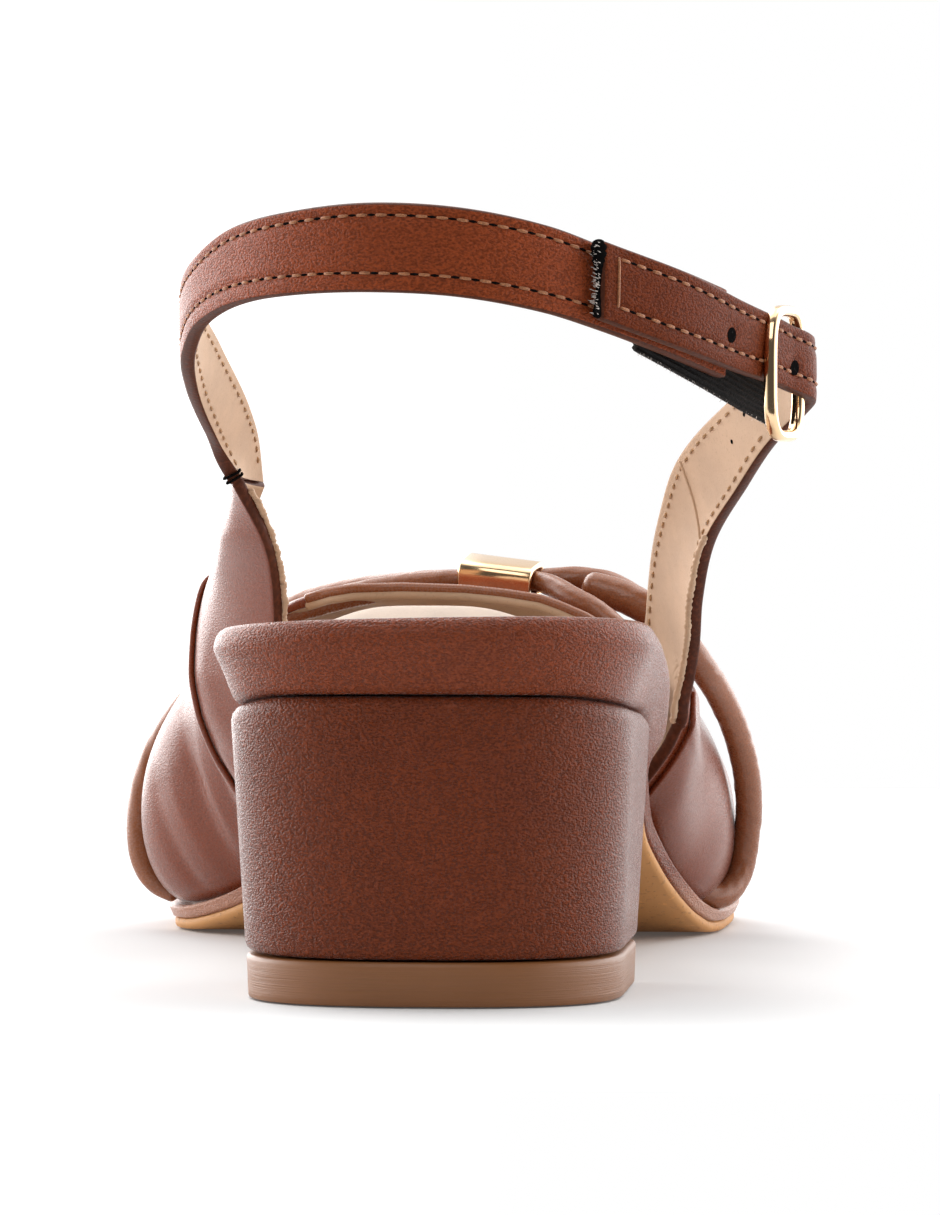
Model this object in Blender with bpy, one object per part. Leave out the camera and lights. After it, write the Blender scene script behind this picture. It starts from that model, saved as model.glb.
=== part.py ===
"""Slingback sandal with a covered block heel, for a right foot, standing empty on its sole.

The toe points to +Y, the outer (lateral) side to +X and up is +Z.  The origin is the centre of the
heel's tread on the floor.  Sizes below are in millimetres and the meshes are written in metres.
"""
import math

import bmesh
import bpy
import numpy as np
from mathutils import Vector
from mathutils.bvhtree import BVHTree

MM = 0.001

# Driving sizes of the shoe
GAP = 0.3                 # clearance left between pieces that touch
SEAT_BACK = -31.0         # rearmost point of the seat
TOE_TIP = 208.0           # front of the sole
SEAT_ROUND = 29.0         # length over which the seat closes to its back
TOE_ROUND = 62.0          # length over which the sole closes to the toe
OUTSOLE_THICK = 1.4
OUTSOLE_REAR = 28.0       # the outsole starts in front of the heel
OUTSOLE_INSET = 1.3
TREAD_HALF_WIDTH = 25.8
TREAD_LENGTH = 50.0
LIFT_HEIGHT = 6.0
HEEL_TOP_HALF_WIDTH = 27.9
HEEL_TOP_BACK = -28.2
HEEL_TOP_FRONT = 26.8
HEEL_ROUND = 24.0
HEEL_CORNER = 4.0
SEAT_COVE = 3.2           # how far the seat's side slants in below its rim
INNER_FEATHER = 2.6       # from the sole's edge to the foot of the upper, on each side
OUTER_FEATHER = 4.6
UPPER_WALL = 1.8
STRAP_WALL = 2.0
BAND_STEP = 1.1           # how far the vamp band stands out over the inner quarter
BEAD_LENGTH = 11.0
BEAD_DEPTH = 9.0
BEAD_HEIGHT = 5.8
BEAD_PLACE = (0.0, 103.2, 56.3)
BEAD_CORNER = 2.0
BEAD_DIP = 2.9            # the vamp is drawn in under the bead
BEAD_WALL = 0.8
BUCKLE_HEIGHT = 18.8
BUCKLE_WIRE = 0.8
BUCKLE_REAR = (46.9, -2.9, 85.8)    # bar that lies over the tail
BUCKLE_FRONT = (46.9, 11.6, 85.8)   # bar that the elastic holds, behind the tail
ELASTIC_WALL = 1.2

# Number of faces along each form
SOLE_STATIONS = 38
HEEL_STATIONS = 16
VAMP_RIBS = 34
VAMP_ROWS = 17
CORD_SIDES = 10
CORD_GAP = 0.35           # a cord's clearance, with room for its flat facets
CLEAR_PASSES = 10
SMOOTH_PASSES = 3
DEEP = 0.7                # share of the way to the skin that has to be straight in


class Table:
    """Rows of sizes with named columns, read between rows along the first column."""

    def __init__(self, columns, *rows):
        data = np.array(rows, dtype=float)
        self.key = data[:, 0]
        self.columns = {name: data[:, i] for i, name in enumerate(columns)}

    def at(self, key, column):
        return hermite(self.key, self.columns[column], key)


def hermite(keys, values, key):
    """Smooth value at key that never swings past the rows on its two sides."""
    key = min(max(key, keys[0]), keys[-1])
    i = min(int(np.searchsorted(keys, key, side="right")) - 1, len(keys) - 2)
    steps = np.diff(keys)
    slopes = np.diff(values) / steps
    tangents = [slopes[0]]
    for before, after in zip(slopes[:-1], slopes[1:]):
        same_way = before * after > 0
        tangents.append(2 * before * after / (before + after) if same_way else 0.0)
    tangents.append(slopes[-1])
    t = (key - keys[i]) / steps[i]
    rise = values[i + 1] - values[i]
    a, b = tangents[i] * steps[i], tangents[i + 1] * steps[i]
    return values[i] + t * (a + t * (3 * rise - 2 * a - b + t * (a + b - 2 * rise)))


# Outline of the sole (inner and outer edge), height of the footbed's underside, height of its wrapped
# edge, depth of the recess for the insole, how far the insole lies in, and how high it is crowned
SOLE = Table(
    ("y", "inner", "outer", "under", "edge", "recess", "insole_inset", "crown"),
    (-31, -30.4, 30.4, 42.4, 10.2, 1.0, 4.2, 2.2),
    (-12, -30.4, 30.4, 41.2, 10.0, 1.0, 4.2, 2.4),
    (0, -30.4, 30.4, 40.2, 9.9, 1.0, 4.2, 2.4),
    (28, -29.6, 29.8, 37.0, 8.6, 1.0, 4.4, 2.0),
    (52, -28.6, 26.0, 30.2, 6.0, 0.7, 4.8, 1.5),
    (80, -30.6, 24.6, 18.4, 3.2, 0.3, 6.6, 1.2),
    (92, -33.4, 26.2, 12.4, 2.6, 0.0, 7.4, 1.0),
    (104, -39.0, 28.8, 6.9, 2.4, 0.0, 7.6, 1.0),
    (113, -46.0, 31.0, 3.6, 2.2, 0.0, 7.6, 1.0),
    (122, -52.0, 32.8, 1.9, 2.2, 0.0, 7.6, 1.0),
    (130, -54.6, 34.0, 1.7, 2.2, 0.0, 7.4, 1.0),
    (150, -56.0, 34.6, 1.7, 2.2, 0.0, 7.2, 1.0),
    (164, -56.0, 33.4, 1.7, 2.2, 0.0, 4.6, 1.0),
    (186, -56.0, 28.0, 4.0, 2.2, 0.0, 3.8, 1.0),
    (208, -55.5, 22.5, 8.4, 2.2, 0.0, 3.6, 0.8),
)

# Sections of the vamp: how far each side bulges past its foot and how high above the foot, place and
# height of the crest, and how square each shoulder is
VAMP = Table(
    ("y", "inner_out", "inner_waist", "outer_out", "outer_waist", "crest_x", "crest_z", "inner_square",
     "outer_square"),
    (76, 13.6, 24.0, 10.2, 17.0, -14.0, 51.6, 1.8, 2.4),
    (86, 15.2, 23.0, 9.6, 16.0, -15.0, 52.6, 1.65, 2.3),
    (95, 14.0, 21.0, 8.6, 14.5, -15.5, 53.3, 1.6, 2.2),
    (104, 11.6, 18.0, 7.4, 13.0, -15.5, 53.2, 1.75, 2.1),
    (113, 7.6, 15.0, 6.0, 12.0, -15.0, 51.6, 2.0, 2.1),
    (123, 4.6, 12.5, 4.2, 11.5, -14.5, 49.0, 2.0, 2.1),
    (132, 3.0, 11.5, 3.8, 11.0, -14.0, 46.0, 2.0, 2.1),
    (146, 3.4, 10.5, 5.0, 10.5, -13.5, 41.0, 2.2, 2.1),
    (168, 3.0, 9.5, 4.2, 9.0, -14.0, 34.0, 2.3, 2.1),
    (184, 3.0, 8.5, 3.8, 8.0, -14.5, 28.6, 2.3, 2.1),
)

# Rear and front edges of the vamp, from the inner foot (0) over the crest (0.5) to the outer foot (1)
VAMP_EDGES = Table(
    ("around", "rear", "front"),
    (0.00, 97.0, 148.0),
    (0.16, 88.0, 151.0),
    (0.30, 86.0, 162.0),
    (0.50, 94.6, 172.0),
    (0.64, 90.0, 173.0),
    (0.84, 86.0, 163.0),
    (1.00, 88.0, 152.0),
)

# Inner quarter, from the sole up to the sling: its rear edge, its front edge and its fullness.
# The lower rows run forward under the vamp band, where the band gives the front edge's width.
INNER_QUARTER = (
    # rear x, y, z, front x, y, z, fullness
    (-27.2, 78.0, 22.8, None, 107.0, 9.0, 0.0),
    (-29.4, 74.0, 32.0, None, 103.0, 22.0, 1.5),
    (-29.2, 67.0, 44.0, None, 97.0, 38.0, 3.5),
    (-28.8, 58.0, 57.4, -42.0, 87.0, 55.2, 2.6),
    (-29.8, 52.8, 63.4, -34.6, 75.0, 62.0, 2.6),
    (-32.8, 47.6, 70.8, -30.8, 63.5, 69.6, 1.2),
    (-34.4, 41.6, 74.2, -31.2, 55.0, 76.2, 0.5),
)

# Outer quarter, from the sole up to the tail that lies over the sling
OUTER_QUARTER = (
    (20.8, 80.5, 21.6, None, 104.0, 9.6, 0.0),
    (26.6, 73.0, 28.5, None, 101.0, 22.0, 1.5),
    (29.4, 65.5, 38.0, None, 97.0, 36.0, 2.6),
    (31.2, 58.5, 46.5, 24.6, 84.0, 47.0, 3.0),
    (32.0, 53.0, 53.5, 25.2, 72.0, 57.5, 1.6),
    (34.0, 46.0, 61.3, 27.2, 58.5, 66.3, 0.6),
    (39.4, 32.0, 69.3, 31.0, 44.5, 74.4, 0.3),
    (44.6, 21.0, 76.2, 39.4, 28.0, 82.4, 0.0),
    (48.2, 15.6, 79.6, 46.4, 18.6, 87.6, 0.0),
    (49.8, 11.2, 81.8, 49.6, 12.0, 90.2, 0.0),
    (46.6, 5.0, 83.6, 46.8, 4.8, 92.1, 0.0),
    (40.6, -7.4, 85.8, 40.9, -7.6, 95.0, 0.0),
    (33.6, -18.8, 88.6, 33.9, -19.1, 98.6, 0.0),
    (23.6, -28.8, 92.4, 23.8, -29.0, 102.4, 0.0),
)

# Sling strap, from its seam on the inner quarter round the back of the heel: lower and upper edge
SLING = (
    (-34.6, 40.8, 74.6, -31.3, 54.0, 76.7, 0.0),
    (-35.2, 33.5, 77.4, -31.4, 44.5, 81.0, 0.0),
    (-35.6, 18.0, 83.4, -33.2, 24.5, 89.8, 0.0),
    (-33.8, 2.6, 88.8, -34.2, 3.4, 97.4, 0.0),
    (-30.4, -9.0, 92.4, -30.6, -9.6, 101.2, 0.0),
    (-25.0, -19.2, 94.6, -25.1, -19.4, 104.4, 0.0),
    (-15.8, -29.4, 95.8, -15.8, -29.6, 106.4, 0.0),
    (-5.6, -34.8, 96.0, -5.6, -34.9, 107.2, 0.0),
    (5.2, -35.6, 95.4, 5.2, -35.7, 106.6, 0.0),
    (16.2, -31.6, 93.4, 16.3, -31.7, 104.4, 0.0),
    (23.7, -25.2, 91.0, 23.8, -25.3, 101.6, 0.0),
    (31.4, -16.2, 88.0, 31.5, -16.3, 99.4, 0.0),
    (38.2, -5.6, 85.0, 38.4, -5.8, 96.6, 0.0),
)

# Elastic that comes out from behind the sling's end and holds the buckle
ELASTIC = (
    (28.8, -18.3, 88.2, 28.9, -18.4, 96.6, 0.0),
    (37.7, -5.2, 83.1, 37.8, -5.3, 91.9, 0.0),
    (42.3, 2.6, 80.3, 42.3, 2.6, 89.1, 0.0),
    (46.0, 10.0, 78.2, 46.0, 10.0, 87.0, 0.0),
)


# Rolled leather cords: each row is a place on the cord's middle and its radius there.
# The topline cord lies along the vamp's rear edge and goes through the near half of the bead.
TOPLINE_CORD = (
    (-33.6, 93.0, 51.0, 1.2),
    (-30.6, 93.8, 51.8, 1.5),
    (-27.0, 95.2, 52.4, 1.6),
    (-21.0, 97.6, 54.2, 1.7),
    (-14.0, 99.8, 55.6, 1.7),
    (-6.8, 101.5, 56.3, 1.5),
    (0.0, 101.55, 56.3, 1.5),
    (6.4, 101.5, 56.2, 1.5),
    (10.0, 99.4, 54.2, 1.8),
    (14.6, 96.2, 51.0, 1.8),
    (19.4, 93.2, 47.2, 1.8),
    (23.4, 91.6, 41.6, 1.6),
)

# The front cord comes up from the inner edge of the sole and goes through the far half of the bead
FRONT_CORD = (
    (-56.6, 128.3, 6.6, 1.3),
    (-57.0, 128.6, 8.6, 1.9),
    (-58.8, 129.0, 14.0, 2.1),
    (-56.4, 128.8, 24.0, 2.1),
    (-50.6, 128.0, 35.0, 2.1),
    (-43.0, 125.4, 43.0, 2.1),
    (-35.0, 120.4, 50.0, 2.1),
    (-24.0, 113.6, 54.6, 2.0),
    (-13.0, 107.6, 56.8, 1.8),
    (-6.8, 104.9, 56.3, 1.5),
    (0.0, 104.85, 56.3, 1.5),
    (6.4, 104.9, 56.3, 1.5),
    (11.0, 106.0, 55.8, 1.9),
    (16.0, 106.2, 55.0, 2.0),
    (20.6, 105.8, 52.8, 1.9),
    (25.0, 105.6, 48.6, 1.6),
)

# The outer cord starts as a thick roll beside the bead and stands clear of the vamp's outer side
OUTER_CORD = (
    (14.4, 101.0, 54.0, 2.6),
    (19.0, 100.4, 52.8, 2.6),
    (23.8, 100.0, 49.8, 2.5),
    (27.4, 100.4, 46.6, 2.4),
    (30.2, 102.4, 43.2, 2.2),
    (33.0, 108.4, 38.4, 2.1),
    (35.8, 116.0, 31.1, 2.1),
    (37.2, 122.4, 22.5, 2.1),
    (36.8, 126.6, 15.7, 2.1),
    (34.3, 128.2, 9.6, 2.1),
    (33.4, 128.2, 7.3, 1.6),
)


def sole_edges(y):
    """Inner and outer edge of the sole's outline, closed round at the seat and the toe."""
    inner, outer = SOLE.at(y, "inner"), SOLE.at(y, "outer")
    centre, half = (inner + outer) / 2, (outer - inner) / 2
    half *= end_round((SEAT_BACK + SEAT_ROUND - y) / SEAT_ROUND, 2.5)
    half *= end_round((y - TOE_TIP + TOE_ROUND) / TOE_ROUND, 2.15)
    return centre - half, centre + half


def end_round(reach, square):
    """Share of the width left where an outline has gone the share reach into its rounded end."""
    if reach <= 0:
        return 1.0
    return max(1 - min(reach, 1.0) ** square, 0.0) ** (1 / square)


def rim(y):
    """Height of the footbed's upper edge."""
    return SOLE.at(y, "under") + SOLE.at(y, "edge")


def spread(start, end, count, ends):
    """Values from start to end that crowd towards both ends as ends goes from 0 to 1."""
    share = np.linspace(0, 1, count)
    eased = (1 - np.cos(math.pi * share)) / 2
    return start + (end - start) * ((1 - ends) * share + ends * eased)


def outline(edges, stations, inset):
    """Pairs of plan points (inner side, outer side) of an outline drawn in by inset at each y."""
    inner = np.array([(edges(y)[0], y) for y in stations])
    outer = np.array([(edges(y)[1], y) for y in stations])
    loop = np.vstack((inner, outer[::-1]))
    ahead = np.roll(loop, -1, axis=0)
    behind = np.roll(loop, 1, axis=0)
    along = ahead - behind
    along /= np.linalg.norm(along, axis=1)[:, None]
    inward = np.column_stack((along[:, 1], -along[:, 0]))
    amount = np.array([inset(y) for y in loop[:, 1]])
    loop = loop + inward * amount[:, None]
    count = len(stations)
    return loop[:count], loop[count:][::-1]


def slab_mesh(levels, edges, stations, crown=None, columns=1):
    """Closed solid between outlines stacked from below up; crown lifts the middle of its top.

    Each level is a pair of functions of y: how far it is drawn in, and its height.
    """
    verts, faces = [], []
    rings = []
    for inset, height in levels:
        inner, outer = outline(edges, stations, inset)
        ring = []
        for points in (inner, outer):
            ring.append(list(range(len(verts), len(verts) + len(points))))
            verts.extend((x, y, height(y)) for x, y in points)
        rings.append(ring)
    count = len(stations)
    for (low_in, low_out), (high_in, high_out) in zip(rings[:-1], rings[1:]):
        low = low_in + low_out[::-1]
        high = high_in + high_out[::-1]
        for i in range(2 * count):
            j = (i + 1) % (2 * count)
            faces.append((low[i], high[i], high[j], low[j]))
    low_in, low_out = rings[0]
    for i in range(count - 1):
        faces.append((low_in[i], low_in[i + 1], low_out[i + 1], low_out[i]))
    rows = []
    for inner, outer in zip(*rings[-1]):
        row = [inner]
        left, right = np.array(verts[inner]), np.array(verts[outer])
        for column in range(1, columns):
            share = column / columns
            point = left + (right - left) * share
            if crown:
                point[2] += crown(point[1]) * (1 - (2 * share - 1) ** 4)
            row.append(len(verts))
            verts.append(tuple(point))
        rows.append(row + [outer])
    for row, following in zip(rows[:-1], rows[1:]):
        for c in range(columns):
            faces.append((row[c], row[c + 1], following[c + 1], following[c]))
    if columns > 1:
        faces = split_ends(faces, rings[-1], rows)
    return verts, faces


def split_ends(faces, top_ring, rows):
    """Join the middle points of the first and last row to the side wall below them."""
    inner, outer = top_ring
    fixed = []
    for face in faces:
        for row, pair in ((rows[0], (inner[0], outer[0])), (rows[-1], (inner[-1], outer[-1]))):
            for a, b in (pair, pair[::-1]):
                if a in face and b in face and len(face) == 4:
                    i = face.index(a)
                    if face[(i + 1) % 4] == b:
                        middle = row[1:-1] if a == row[0] else row[1:-1][::-1]
                        face = face[:i + 1] + tuple(middle) + face[i + 1:]
        fixed.append(face)
    return fixed


def vamp_point(y, around):
    """Point of the vamp's outside on the section at y; around runs from inner to outer foot."""
    left, right = sole_edges(y)
    left += INNER_FEATHER
    right -= OUTER_FEATHER
    foot = rim(y) + GAP
    crest_x, crest_z = VAMP.at(y, "crest_x"), VAMP.at(y, "crest_z")
    inner = around < 0.5
    waist = foot + VAMP.at(y, "inner_waist" if inner else "outer_waist")
    out = VAMP.at(y, "inner_out" if inner else "outer_out")
    square = VAMP.at(y, "inner_square" if inner else "outer_square")
    reach = (crest_x - left if inner else right - crest_x) + out
    share = 2 * min(around, 1 - around)
    tuck = 0.24
    if share < tuck:
        turn = (1 - share / tuck) * math.pi / 2
        x = reach - out * (1 - math.cos(turn))
        z = waist - (waist - foot) * math.sin(turn)
    else:
        turn = (share - tuck) / (1 - tuck) * math.pi / 2
        x = reach * math.cos(turn) ** (2 / square)
        z = waist + (crest_z - waist) * math.sin(turn) ** (2 / square)
    x = crest_x - x if inner else crest_x + x
    aside, ahead = (x - BEAD_PLACE[0]) / BEAD_LENGTH, (y - BEAD_PLACE[1]) / BEAD_LENGTH
    return np.array((x, y, z - BEAD_DIP * math.exp(-aside ** 2 - ahead ** 2)))


def vamp_side(y, z, side):
    """Sideways place of the vamp's outside at a height; side is -1 for inner and 1 for outer."""
    low, high = 0.0, 0.5
    for _ in range(40):
        middle = (low + high) / 2
        if vamp_point(y, middle if side < 0 else 1 - middle)[2] < z:
            low = middle
        else:
            high = middle
    return vamp_point(y, low if side < 0 else 1 - low)[0]


def above_footbed(point):
    """The point, raised where it would reach into the footbed."""
    return np.array((point[0], point[1], max(point[2], rim(point[1]) + GAP)))


def sheet_mesh(outer, wall, keep=lambda point: point):
    """Closed wall behind a grid of points on its outside; rows and columns follow the grid."""
    outer = np.array(outer)
    along = np.gradient(outer, axis=0)
    across = np.gradient(outer, axis=1)
    normal = np.cross(across, along)
    normal /= np.linalg.norm(normal, axis=2)[:, :, None]
    inner = outer - normal * wall
    rows, columns = outer.shape[:2]
    verts = [tuple(keep(p)) for p in outer.reshape(-1, 3)]
    verts += [tuple(keep(p)) for p in inner.reshape(-1, 3)]
    back = rows * columns
    faces = []
    for r in range(rows - 1):
        for c in range(columns - 1):
            a, b = r * columns + c, (r + 1) * columns + c
            faces.append((a, a + 1, b + 1, b))
            faces.append((back + a, back + b, back + b + 1, back + a + 1))
    rim_loop = [c for c in range(columns)]
    rim_loop += [r * columns + columns - 1 for r in range(1, rows)]
    rim_loop += [(rows - 1) * columns + c for c in range(columns - 2, -1, -1)]
    rim_loop += [r * columns for r in range(rows - 2, 0, -1)]
    for a, b in zip(rim_loop, rim_loop[1:] + rim_loop[:1]):
        faces.append((a, back + a, back + b, b))
    return verts, faces


def through(points, count):
    """Points spaced evenly along a smooth curve through the given points."""
    points = np.array(points, dtype=float)
    chord = np.concatenate(((0,), np.cumsum(np.linalg.norm(np.diff(points, axis=0), axis=1))))
    tangents = np.gradient(points, chord, axis=0)
    fine = np.linspace(0, chord[-1], 40 * len(points))
    curve = np.array([cubic(points, tangents, chord, at) for at in fine])
    length = np.concatenate(((0,), np.cumsum(np.linalg.norm(np.diff(curve, axis=0), axis=1))))
    even = np.linspace(0, length[-1], count)
    return np.column_stack([np.interp(even, length, curve[:, i]) for i in range(3)])


def cubic(points, tangents, chord, at):
    i = min(int(np.searchsorted(chord, at, side="right")) - 1, len(chord) - 2)
    step = chord[i + 1] - chord[i]
    t = (at - chord[i]) / step
    rise = points[i + 1] - points[i]
    a, b = tangents[i] * step, tangents[i + 1] * step
    return points[i] + t * (a + t * (3 * rise - 2 * a - b + t * (a + b - 2 * rise)))


def ribbon_grid(rows, side, count, columns, step=0.0):
    """Grid of points on a ribbon's outside, from rows of its two edges and its fullness.

    An edge with no x lies on the vamp, drawn in by step.
    """
    rear, front, full = [], [], []
    for rear_x, rear_y, rear_z, front_x, front_y, front_z, fullness in rows:
        if front_x is None:
            front_x = vamp_side(front_y, front_z, side) - side * step
        rear.append((rear_x, rear_y, rear_z))
        front.append((front_x, front_y, front_z))
        full.append(fullness)
    middle = (np.array(rear) + np.array(front)) / 2
    chord = np.concatenate(((0,), np.cumsum(np.linalg.norm(np.diff(middle, axis=0), axis=1))))
    stops = np.linspace(0, chord[-1], count)
    tables = []
    for edge in (rear, front):
        edge = np.array(edge)
        tangents = np.gradient(edge, chord, axis=0)
        tables.append(np.array([cubic(edge, tangents, chord, at) for at in stops]))
    fullness = np.interp(stops, chord, full)
    grid = []
    for a, b, swell in zip(tables[0], tables[1], fullness):
        outward = np.array(((b - a)[1], -(b - a)[0], 0.0))
        outward *= side * (1 if (b - a)[1] >= 0 else -1)
        outward /= max(np.linalg.norm(outward), 1e-6)
        shares = np.linspace(0, 1, columns)
        grid.append([a + (b - a) * v + outward * swell * 4 * v * (1 - v) for v in shares])
    return np.array(grid)


def tube_mesh(path, radii, sides=CORD_SIDES):
    """Closed round cord along a path, with rounded ends."""
    path = np.array(path)
    tangents = np.gradient(path, axis=0)
    tangents /= np.linalg.norm(tangents, axis=1)[:, None]
    guide = np.array((0.0, 0.0, 1.0))
    if abs(tangents[0] @ guide) > 0.9:
        guide = np.array((0.0, 1.0, 0.0))
    rings = []
    first = path[0] - tangents[0] * radii[0] * 0.35
    last = path[-1] + tangents[-1] * radii[-1] * 0.35
    stops = [(first, tangents[0], radii[0] * 0.6)]
    stops += list(zip(path, tangents, radii))
    stops.append((last, tangents[-1], radii[-1] * 0.6))
    verts = []
    for centre, tangent, radius in stops:
        guide = guide - tangent * (guide @ tangent)
        guide /= np.linalg.norm(guide)
        other = np.cross(tangent, guide)
        ring = []
        for k in range(sides):
            angle = 2 * math.pi * k / sides
            ring.append(len(verts))
            verts.append(tuple(centre + radius * (guide * math.cos(angle) + other * math.sin(angle))))
        rings.append(ring)
    faces = [tuple(rings[0][::-1]), tuple(rings[-1])]
    for low, high in zip(rings[:-1], rings[1:]):
        for k in range(sides):
            n = (k + 1) % sides
            faces.append((low[k], low[n], high[n], high[k]))
    return verts, faces


def add(name, mesh, colour, roughness, metallic=0.0, smooth_below=40):
    """Object with its own material, from points in millimetres."""
    verts, faces = mesh
    data = bpy.data.meshes.new(name)
    data.from_pydata([tuple(float(c) * MM for c in v) for v in verts], [], faces)
    work = bmesh.new()
    work.from_mesh(data)
    bmesh.ops.triangulate(work, faces=[f for f in work.faces if len(f.verts) > 4])
    bmesh.ops.recalc_face_normals(work, faces=work.faces)
    if work.calc_volume(signed=True) < 0:
        bmesh.ops.reverse_faces(work, faces=work.faces)
    work.to_mesh(data)
    work.free()
    data.shade_smooth()
    data.set_sharp_from_angle(angle=math.radians(smooth_below))
    piece = bpy.data.objects.new(name, data)
    bpy.context.collection.objects.link(piece)
    material = bpy.data.materials.new(name)
    material.use_nodes = True
    shader = material.node_tree.nodes["Principled BSDF"]
    shader.inputs["Base Color"].default_value = (*colour, 1.0)
    shader.inputs["Roughness"].default_value = roughness
    shader.inputs["Metallic"].default_value = metallic
    data.materials.append(material)
    return piece


def join(piece, others):
    """Fuse other closed walls into a piece."""
    for other in others:
        other.hide_render = True
        other.display_type = "WIRE"
        fuse = piece.modifiers.new("fuse_" + other.name, "BOOLEAN")
        fuse.operation = "UNION"
        fuse.solver = "EXACT"
        fuse.object = other


BROWN = (0.135, 0.042, 0.024)
TAN = (0.50, 0.30, 0.13)
GUM = (0.24, 0.11, 0.05)
CREAM = (0.80, 0.62, 0.47)
GOLD = (0.83, 0.60, 0.27)
BLACK = (0.012, 0.010, 0.009)


def heel_edges(half, back, front):
    """Outline of the heel at one height: round at the back, with small front corners."""
    def edges(y):
        width = half * end_round((back + HEEL_ROUND - y) / HEEL_ROUND, 2.6)
        width -= HEEL_CORNER * (1 - end_round((y - front + HEEL_CORNER) / HEEL_CORNER, 2.0))
        return -width, width
    return edges


def heel_mesh(levels):
    """Heel piece through stacked outlines; a level is half width, back, front and height."""
    verts, faces = [], []
    rings = []
    for half, back, front, height in levels:
        stations = spread(back + 0.15, front, HEEL_STATIONS, 0.8)
        inner, outer = outline(heel_edges(half, back, front), stations, lambda y: 0.0)
        points = list(inner) + list(outer)[::-1]
        rings.append(list(range(len(verts), len(verts) + len(points))))
        verts.extend((x, y, height(y)) for x, y in points)
    size = len(rings[0])
    for low, high in zip(rings[:-1], rings[1:]):
        for i in range(size):
            j = (i + 1) % size
            faces.append((low[i], high[i], high[j], low[j]))
    for i in range(size // 2 - 1):
        for ring in (rings[0], rings[-1]):
            face = (ring[i], ring[i + 1], ring[size - 2 - i], ring[size - 1 - i])
            faces.append(face if ring is rings[0] else face[::-1])
    return verts, faces


def build_heel():
    tread_back, tread_front = -TREAD_LENGTH / 2, TREAD_LENGTH / 2
    lift = [
        (TREAD_HALF_WIDTH, tread_back, tread_front, lambda y: 0.0),
        (TREAD_HALF_WIDTH + 0.2, tread_back - 0.2, tread_front + 0.1, lambda y: LIFT_HEIGHT),
    ]
    add("top_lift", heel_mesh(lift), GUM, 0.5)
    low = LIFT_HEIGHT + GAP
    levels = []
    for share, draw_in in ((0.0, 0.5), (0.02, 0.0), (0.35, 0.0), (0.7, 0.0), (0.96, 0.0), (1.0, 0.9)):
        half = TREAD_HALF_WIDTH + 0.3 + (HEEL_TOP_HALF_WIDTH - TREAD_HALF_WIDTH - 0.3) * share
        back = tread_back - 0.3 + (HEEL_TOP_BACK - tread_back + 0.3) * share
        front = tread_front + (HEEL_TOP_FRONT - tread_front) * share

        def height(y, share=share):
            return low + share * (SOLE.at(y, "under") - GAP - low)

        levels.append((half - draw_in, back + draw_in, front - draw_in, height))
    add("heel_block", heel_mesh(levels), BROWN, 0.5)


def build_sole():
    def under(y):
        return SOLE.at(y, "under")

    def cove(y):
        """The seat's side slants in below its rim; further forward the edge is only rounded."""
        return 0.7 + (SEAT_COVE - 0.7) * min(max((60 - y) / 40, 0), 1)

    whole = spread(SEAT_BACK + 0.15, TOE_TIP - 0.15, SOLE_STATIONS, 0.55)
    front = spread(OUTSOLE_REAR, TOE_TIP - 1.2, SOLE_STATIONS - 6, 0.35)
    outsole = [
        (lambda y: OUTSOLE_INSET, lambda y: under(y) - GAP - OUTSOLE_THICK),
        (lambda y: OUTSOLE_INSET - 0.3, lambda y: under(y) - GAP),
    ]
    add("outsole", slab_mesh(outsole, sole_edges, front), TAN, 0.55)
    def bed(y):
        """Floor of the recess that the insole lies in."""
        return rim(y) - SOLE.at(y, "recess")

    footbed = [
        (cove, under),
        (lambda y: cove(y) * 0.5, lambda y: under(y) + SOLE.at(y, "edge") * 0.35),
        (lambda y: 0.0, lambda y: under(y) + SOLE.at(y, "edge") * 0.68),
        (lambda y: 0.5, lambda y: under(y) + SOLE.at(y, "edge") * 0.9),
        (lambda y: 1.7, rim),
        (lambda y: 3.0, rim),
        (lambda y: 3.6, bed),
    ]
    add("footbed", slab_mesh(footbed, sole_edges, whole), BROWN, 0.45)
    insole = [
        (lambda y: SOLE.at(y, "insole_inset"), lambda y: bed(y) + GAP),
        (lambda y: SOLE.at(y, "insole_inset"), lambda y: bed(y) + GAP + 0.5),
        (lambda y: SOLE.at(y, "insole_inset") + 1.2, lambda y: bed(y) + GAP + 1.0),
    ]
    pad = spread(SEAT_BACK + 0.15, TOE_TIP - 0.15, SOLE_STATIONS - 4, 0.55)
    crowned = slab_mesh(insole, sole_edges, pad, lambda y: SOLE.at(y, "crown"), 6)
    add("insole", crowned, CREAM, 0.6)


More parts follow.
